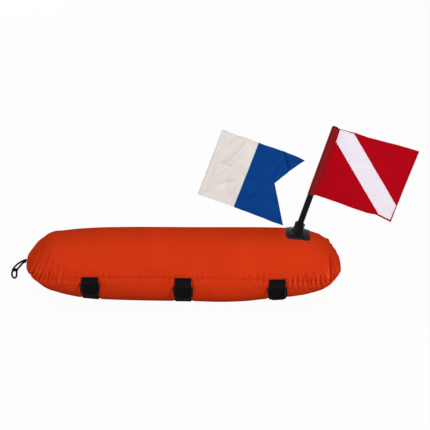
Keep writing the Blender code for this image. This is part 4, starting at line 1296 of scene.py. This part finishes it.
class FLOAT_OT_diver_flag(Operator):
    """Sews the red flag with its white diagonal and slips it on the mast"""

    bl_idname = "float.diver_flag"
    bl_label = "Diver Flag"

    def execute(self, context):
        low, high, fly, foot_fly = 0.1284, 0.3627, 0.2686, 0.2638
        sewn_at, stripe_at = 0.0107, 0.0185
        axis = (math.sin(mast_lean), 0.0, math.cos(mast_lean))
        place = frame_matrix(skin(mast_place, 0.0), (1.0, 0.0, 0.0), axis)
        carry = flag_carry(place, fly, 0.005, 3.0)
        outline = [
            (sewn_at, low + 0.0032),
            (0.6778 * fly, low - 0.0022),
            (0.7842 * fly, low + 0.0010),
            (foot_fly, low - 0.0100),
            (fly, high + 0.0060),
            (0.3950 * fly, high - 0.0014),
            (0.2450 * fly, high + 0.0004),
            (sewn_at, high - 0.0022),
        ]
        red = cloth_panel("diver_flag_cloth", outline, 0.005, carry, flag_cloth)
        dress(red, "flag_cloth_red", "diver_flag", "flag_red", "diver_flag_upper", "diver_flag_lower")
        stripe = [
            (stripe_at - 0.0010, high - 0.0458),
            (0.8150 * fly, low + 0.0045),
            (0.9660 * fly, low - 0.0034),
            (0.9740 * fly, low + 0.0474),
            (0.2235 * fly, high - 0.0026),
            (stripe_at - 0.0030, high - 0.0034),
        ]
        white = cloth_panel("diver_flag_diagonal", stripe, 0.005, carry, flag_cloth * 2.2)
        dress(white, "flag_cloth_stripe", "diver_flag", "flag_white", "diver_flag_stripe")
        inner = ends_at(inset_outline(outline, 0.0065), sewn_at)
        strip = outline + inner[::-1]
        hem = cloth_panel("diver_flag_hem", strip, 0.005, carry, flag_cloth * 1.9)
        dress(hem, "flag_cloth_red", "diver_flag", "flag_red")
        sizes = (0.0103, 0.0103, 0.0128, low + 0.0015, high - 0.002)
        made = sleeve("diver_flag_mast_sleeve", place, *sizes, 1.0)
        dress(made, "flag_cloth_red_over_mast", "diver_flag", "flag_red", "diver_flag_sleeve")
        both = (0.0010, -0.0010)
        lines = [ends_at(inset_outline(outline, 0.0054), sewn_at + 0.002)]
        look = ("thread_red", "diver_flag", "flag_red")
        stitches("diver_flag_hem_stitching", lines, carry, both, *look)
        both = (0.0008, -0.0008)
        lines = [self.shifted(edge, 0.0018) for edge in (stripe[0:2], stripe[3:5])]
        look = ("thread_white", "diver_flag", "flag_white")
        stitches("diver_flag_diagonal_stitching", lines, carry, both, *look)
        return {"FINISHED"}

    def shifted(self, line, distance):
        """The line moved to its left by a distance."""
        a, b = (Vector(point) for point in line)
        along = (b - a).normalized()
        side = Vector((-along.y, along.x)) * distance
        return [tuple(a + side), tuple(b + side)]


class FLOAT_OT_spare_flag(Operator):
    """Sews the white and blue swallow-tailed flag with its empty sleeve"""

    bl_idname = "float.spare_flag"
    bl_label = "Swallow-Tailed Flag"

    def execute(self, context):
        hoist, fly, foot_fly, white_end, band_end = 0.2296, 0.2694, 0.2818, 0.1180, 0.0185
        axis = (math.sin(spare_lean), 0.0, math.cos(spare_lean))
        place = frame_matrix(spare_foot, (1.0, 0.0, 0.0), axis)
        creases = (
            ((0.034, 0.108), (0.0745, 0.212), 0.0074, 0.0055),
            ((0.050, 0.104), (0.088, 0.205), -0.0040, 0.0060),
            ((0.024, 0.020), (0.060, 0.120), 0.0050, 0.0070),
            ((0.026, 0.175), (0.060, 0.216), 0.0054, 0.0050),
            ((0.092, 0.020), (0.106, 0.099), 0.0060, 0.0055),
            ((0.040, 0.040), (0.092, 0.078), 0.0050, 0.0060),
            ((0.070, 0.060), (0.096, 0.130), 0.0046, 0.0065),
            ((0.030, 0.115), (0.066, 0.118), 0.0040, 0.0060),
            ((0.1465, 0.0282), (0.168, 0.0604), 0.0058, 0.0050),
            ((0.132, 0.090), (0.176, 0.128), 0.0040, 0.0060),
            ((0.150, 0.140), (0.190, 0.190), 0.0040, 0.0060),
            ((0.1970, 0.126), (0.2000, 0.172), 0.0060, 0.0055),
            ((0.2031, 0.214), (0.2360, 0.168), 0.0070, 0.0044),
            ((0.2160, 0.186), (0.2420, 0.206), 0.0050, 0.0036),
        )
        carry = flag_carry(place, fly, 0.0045, 11.0, creases, rumple=0.0044, curl=0.018)

        def top_at(u):
            heights = (hoist - 0.0060, hoist - 0.0063, hoist - 0.0110)
            return np.interp(u, (0.0, white_end, fly), heights)

        def foot_at(u):
            return -0.0080 * u / foot_fly

        start, lap = band_end - 0.002, white_end + 0.003
        white_outline = [
            (start, foot_at(start)),
            (lap, foot_at(lap)),
            (lap, top_at(lap)),
            (start, top_at(start)),
        ]
        white = cloth_panel("spare_flag_white_half", white_outline, 0.003, carry, flag_cloth)
        dress(white, "flag_cloth_white", "spare_flag", "flag_white", "spare_flag_white")
        tail_low, notch, tail_high = (foot_fly, -0.0080), (0.2091, 0.1142), (fly, hoist - 0.0110)
        outline = [
            (white_end, foot_at(white_end)),
            tail_low,
            notch,
            tail_high,
            (white_end, top_at(white_end)),
        ]
        blue = cloth_panel("spare_flag_blue_half", outline, 0.003, carry, flag_cloth * 2)
        dress(blue, "flag_cloth_blue", "spare_flag", "flag_blue", "spare_flag_blue")
        inner = ends_at(inset_outline(outline, 0.0055), white_end)
        strip = outline + inner[::-1]
        hem = cloth_panel("spare_flag_blue_hem", strip, 0.003, carry, flag_cloth * 3.2)
        dress(hem, "flag_cloth_blue", "spare_flag", "flag_blue")
        for name, edge, side in (("foot", foot_at, 1), ("head", top_at, -1)):
            strip = [
                (start, edge(start)),
                (white_end, edge(white_end)),
                (white_end, edge(white_end) + side * 0.0055),
                (start, edge(start) + side * 0.0055),
            ]
            if side < 0:
                strip.reverse()
            made = cloth_panel(f"spare_flag_white_{name}_hem", strip, 0.003, carry, flag_cloth * 2.6)
            dress(made, "flag_cloth_white", "spare_flag", "flag_white")
        half = 0.0083
        moved = place @ Matrix.Translation((half - 0.0004, 0.0, 0.0))
        sizes = (half + 0.0004, 0.0042, band_end - half, 0.0, hoist - 0.0058)
        tube = sleeve("spare_flag_hoist_sleeve", moved, *sizes, 7.0)
        dress(tube, "flag_cloth_white", "spare_flag", "flag_white", "spare_flag_sleeve")
        both = (0.0010, -0.0010)
        lines = [ends_at(inset_outline(outline, 0.0045), white_end)]
        join = white_end + 0.0016
        lines.append([(join, foot_at(white_end)), (join, top_at(white_end))])
        look = ("thread_blue", "spare_flag", "flag_blue")
        stitches("spare_flag_blue_stitching", lines, carry, both, *look)
        beside = band_end - 0.0008
        lines = [
            [(start, foot_at(start) + 0.0045), (white_end, foot_at(white_end) + 0.0045)],
            [(start, top_at(start) - 0.0045), (white_end, top_at(white_end) - 0.0045)],
            [(beside, 0.002), (beside, hoist - 0.009)],
        ]
        look = ("thread_white", "spare_flag", "flag_white")
        stitches("spare_flag_white_stitching", lines, carry, both, *look)
        return {"FINISHED"}


# Hardware that keeps its solid


node_finishes = {
    "mast_tube": "glass_fibre_mast",
    "mast_plug": "moulded_acetal",
    "mast_cap": "moulded_acetal",
    "mast_foot": "moulded_nylon_foot",
    "valve_body": "moulded_acetal",
    "valve_cap": "moulded_acetal",
    "zip_stop_left": "moulded_acetal",
    "zip_stop_right": "moulded_acetal",
    "zip_tape_upper": "moulded_acetal",
    "zip_tape_lower": "moulded_acetal",
    "zip_slider": "enamelled_zinc",
    "zip_pull": "enamelled_zinc",
    "bladder": "urethane_film",
}


class FLOAT_OT_hardware(Operator):
    """Finishes the moulded and metal pieces that keep their solids"""

    bl_idname = "float.hardware"
    bl_label = "Hardware"

    def execute(self, context):
        for name, finish in node_finishes.items():
            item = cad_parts[name]
            item.data.materials.clear()
            item.data.materials.append(finish_of(finish))
        return {"FINISHED"}


# Stage


plain_white = (1.0, 1.0, 1.0, 1.0)


class FLOAT_OT_stage(Operator):
    """Adds the floor, the lamps and the camera"""

    bl_idname = "float.stage"
    bl_label = "Stage"

    def execute(self, context):
        scene = context.scene
        stage = scene.float_stage
        deselect()
        bpy.ops.mesh.primitive_plane_add(size=60.0, location=(0.0, 0.0, -0.0006))
        floor = context.active_object
        floor.name = "floor"
        floor.data.materials.append(self.floor_material())
        self.camera(scene, stage)
        self.lamp("key_lamp", (2.0, -3.2, 1.6), 1.2, stage.key_power)
        self.lamp("fill_lamp", (-3.3, -1.5, 1.4), 2.0, stage.fill_power)
        self.lamp("top_lamp", (0.2, 0.6, 3.4), 2.2, stage.top_power)
        self.lamp("back_lamp", (-0.8, 3.6, 1.0), 2.0, stage.back_power)
        self.room(scene, stage)
        scene.view_settings.view_transform = "Standard"
        return {"FINISHED"}

    def room(self, scene, stage):
        """Makes the room plain white where it is seen, and dimmer as a light."""
        world = bpy.data.worlds.new("studio")
        scene.world = world
        world.use_nodes = True
        tree = world.node_tree
        background = tree.nodes["Background"]
        background.inputs["Color"].default_value = plain_white
        path = add(tree, "ShaderNodeLightPath").outputs
        seen = reckon(tree, "MAXIMUM", path["Is Camera Ray"], path["Is Glossy Ray"])
        seen = reckon(tree, "MAXIMUM", seen, path["Is Transmission Ray"])
        spread = {"Value": seen, "To Min": stage.room_light, "To Max": 1.0}
        power = add(tree, "ShaderNodeMapRange", spread)
        tree.links.new(power.outputs["Result"], background.inputs["Strength"])

    def floor_material(self):
        # A white paper sweep that shows as plain white and keeps a faint shadow
        made, tree, shader = new_material("paper_sweep", linear("C8C8C8"), 0.9)
        seen = add(tree, "ShaderNodeLightPath").outputs["Is Camera Ray"]
        glow = add(tree, "ShaderNodeEmission", {"Color": plain_white, "Strength": 1.0})
        grain = add(tree, "ShaderNodeTexNoise", {"Scale": 40.0})
        bump(tree, shader, grain.outputs["Fac"], 0.0002, 0.1)
        share = reckon(tree, "MULTIPLY", seen, 0.965)
        mix = add(tree, "ShaderNodeMixShader", {0: share, 1: shader.outputs[0], 2: glow.outputs[0]})
        tree.links.new(mix.outputs[0], tree.nodes["Material Output"].inputs["Surface"])
        return made

    def camera(self, scene, stage):
        data = bpy.data.cameras.new("camera")
        item = link(bpy.data.objects.new("camera", data))
        target = Vector((0.098, 0.0, 0.276))
        height = stage.camera_height
        distance, picture_width = 12.0, 1.3244
        item.location = target + Vector((0.0, -math.cos(height), math.sin(height))) * distance
        item.rotation_euler = (math.pi / 2 - height, 0.0, 0.0)
        data.lens = data.sensor_width * distance / picture_width
        data.clip_start = 0.5
        data.clip_end = 100.0
        scene.camera = item

    def lamp(self, name, place, size, power):
        data = bpy.data.lights.new(name, "AREA")
        data.size = size
        data.energy = power
        item = link(bpy.data.objects.new(name, data))
        item.location = place
        aim = Vector((0.1, 0.0, 0.15)) - item.location
        item.rotation_euler = aim.to_track_quat("-Z", "Y").to_euler()


# Settings, panel and registration


def colour_setting(name, description, code):
    colour = linear(code)
    return FloatVectorProperty(name=name, description=description, subtype="COLOR", size=4, default=colour)


class FloatLooks(PropertyGroup):
    cover: colour_setting("Cover", "Colour of the nylon cover", "D23815")
    webbing: colour_setting("Webbing", "Colour of the webbing, cord and black thread", "161416")
    # A darker copy of the flag red for the sleeve: painted shade of the sleeve and of the dark mast behind
    # its thin cloth
    plastic: colour_setting("Plastic", "Colour of the moulded pieces", "0F0E10")
    patch: colour_setting("Patch", "Colour of the mast foot's patch", "19191C")
    flag_red: colour_setting("Flag Red", "Colour of the red flag cloth", "AA0415")
    sleeve_red_painted_shade: colour_setting("Sleeve Red", "Colour of the red cloth with the mast behind it", "86181D")
    flag_white: colour_setting("Flag White", "Colour of the white flag cloth", "E3DDD9")
    stripe_white: colour_setting("Stripe White", "Colour of the diagonal's white cloth", "E9E0EA")
    flag_blue: colour_setting("Flag Blue", "Colour of the blue flag cloth", "0B3F86")
    wrinkle_cap: FloatProperty(
        name="Wrinkle Cap",
        description="Furthest that the cover moves as it inflates",
        default=0.0032,
        unit="LENGTH",
    )
    strap_bulge: FloatProperty(
        name="Strap Bulge",
        description="How far a strap stands off the belly, before its own share",
        default=0.003,
        unit="LENGTH",
    )
    seam_ease: FloatProperty(
        name="Seam Ease",
        description="Share of spare cloth eased in beside the seams",
        default=0.10,
        subtype="FACTOR",
    )


class FloatStage(PropertyGroup):
    camera_height: FloatProperty(
        name="Camera Height",
        description="Angle of the camera above the floor",
        default=math.radians(22),
        subtype="ANGLE",
    )
    key_power: FloatProperty(name="Key", description="Power of the key lamp", default=97.0, unit="POWER")
    fill_power: FloatProperty(name="Fill", description="Power of the fill lamp", default=40.0, unit="POWER")
    top_power: FloatProperty(name="Top", description="Power of the lamp above", default=12.0, unit="POWER")
    back_power: FloatProperty(name="Back", description="Power of the lamp behind", default=50.0, unit="POWER")
    room_light: FloatProperty(
        name="Room Light",
        description="Strength of the light from all round",
        default=0.28,
        min=0.0,
        max=1.0,
        subtype="FACTOR",
    )


class FLOAT_PT_panel(Panel):
    """Lists the float's settings and its pieces"""

    bl_idname = "FLOAT_PT_panel"
    bl_label = "Dive Flag Float"
    bl_space_type = "VIEW_3D"
    bl_region_type = "UI"
    bl_category = "Float"

    def draw(self, context):
        for group in (context.scene.float_looks, context.scene.float_stage):
            box = self.layout.box()
            for name in group.__annotations__:
                box.prop(group, name)
        for operator in piece_operators:
            self.layout.operator(operator.bl_idname)


piece_operators = (
    FLOAT_OT_stage,
    FLOAT_OT_cord,
    FLOAT_OT_cover,
    FLOAT_OT_seams,
    FLOAT_OT_straps,
    FLOAT_OT_keepers,
    FLOAT_OT_rings,
    FLOAT_OT_patches,
    FLOAT_OT_diver_flag,
    FLOAT_OT_spare_flag,
    FLOAT_OT_hardware,
)
classes = (FloatLooks, FloatStage) + piece_operators + (FLOAT_PT_panel,)


def register():
    for item in classes:
        bpy.utils.register_class(item)
    bpy.types.Scene.float_looks = PointerProperty(type=FloatLooks)
    bpy.types.Scene.float_stage = PointerProperty(type=FloatStage)


def unregister():
    del bpy.types.Scene.float_looks
    del bpy.types.Scene.float_stage
    for item in reversed(classes):
        bpy.utils.unregister_class(item)


def main():
    register()
    for operator in piece_operators:
        group, name = operator.bl_idname.split(".")
        getattr(getattr(bpy.ops, group), name)()


if __name__ == "__main__":
    main()
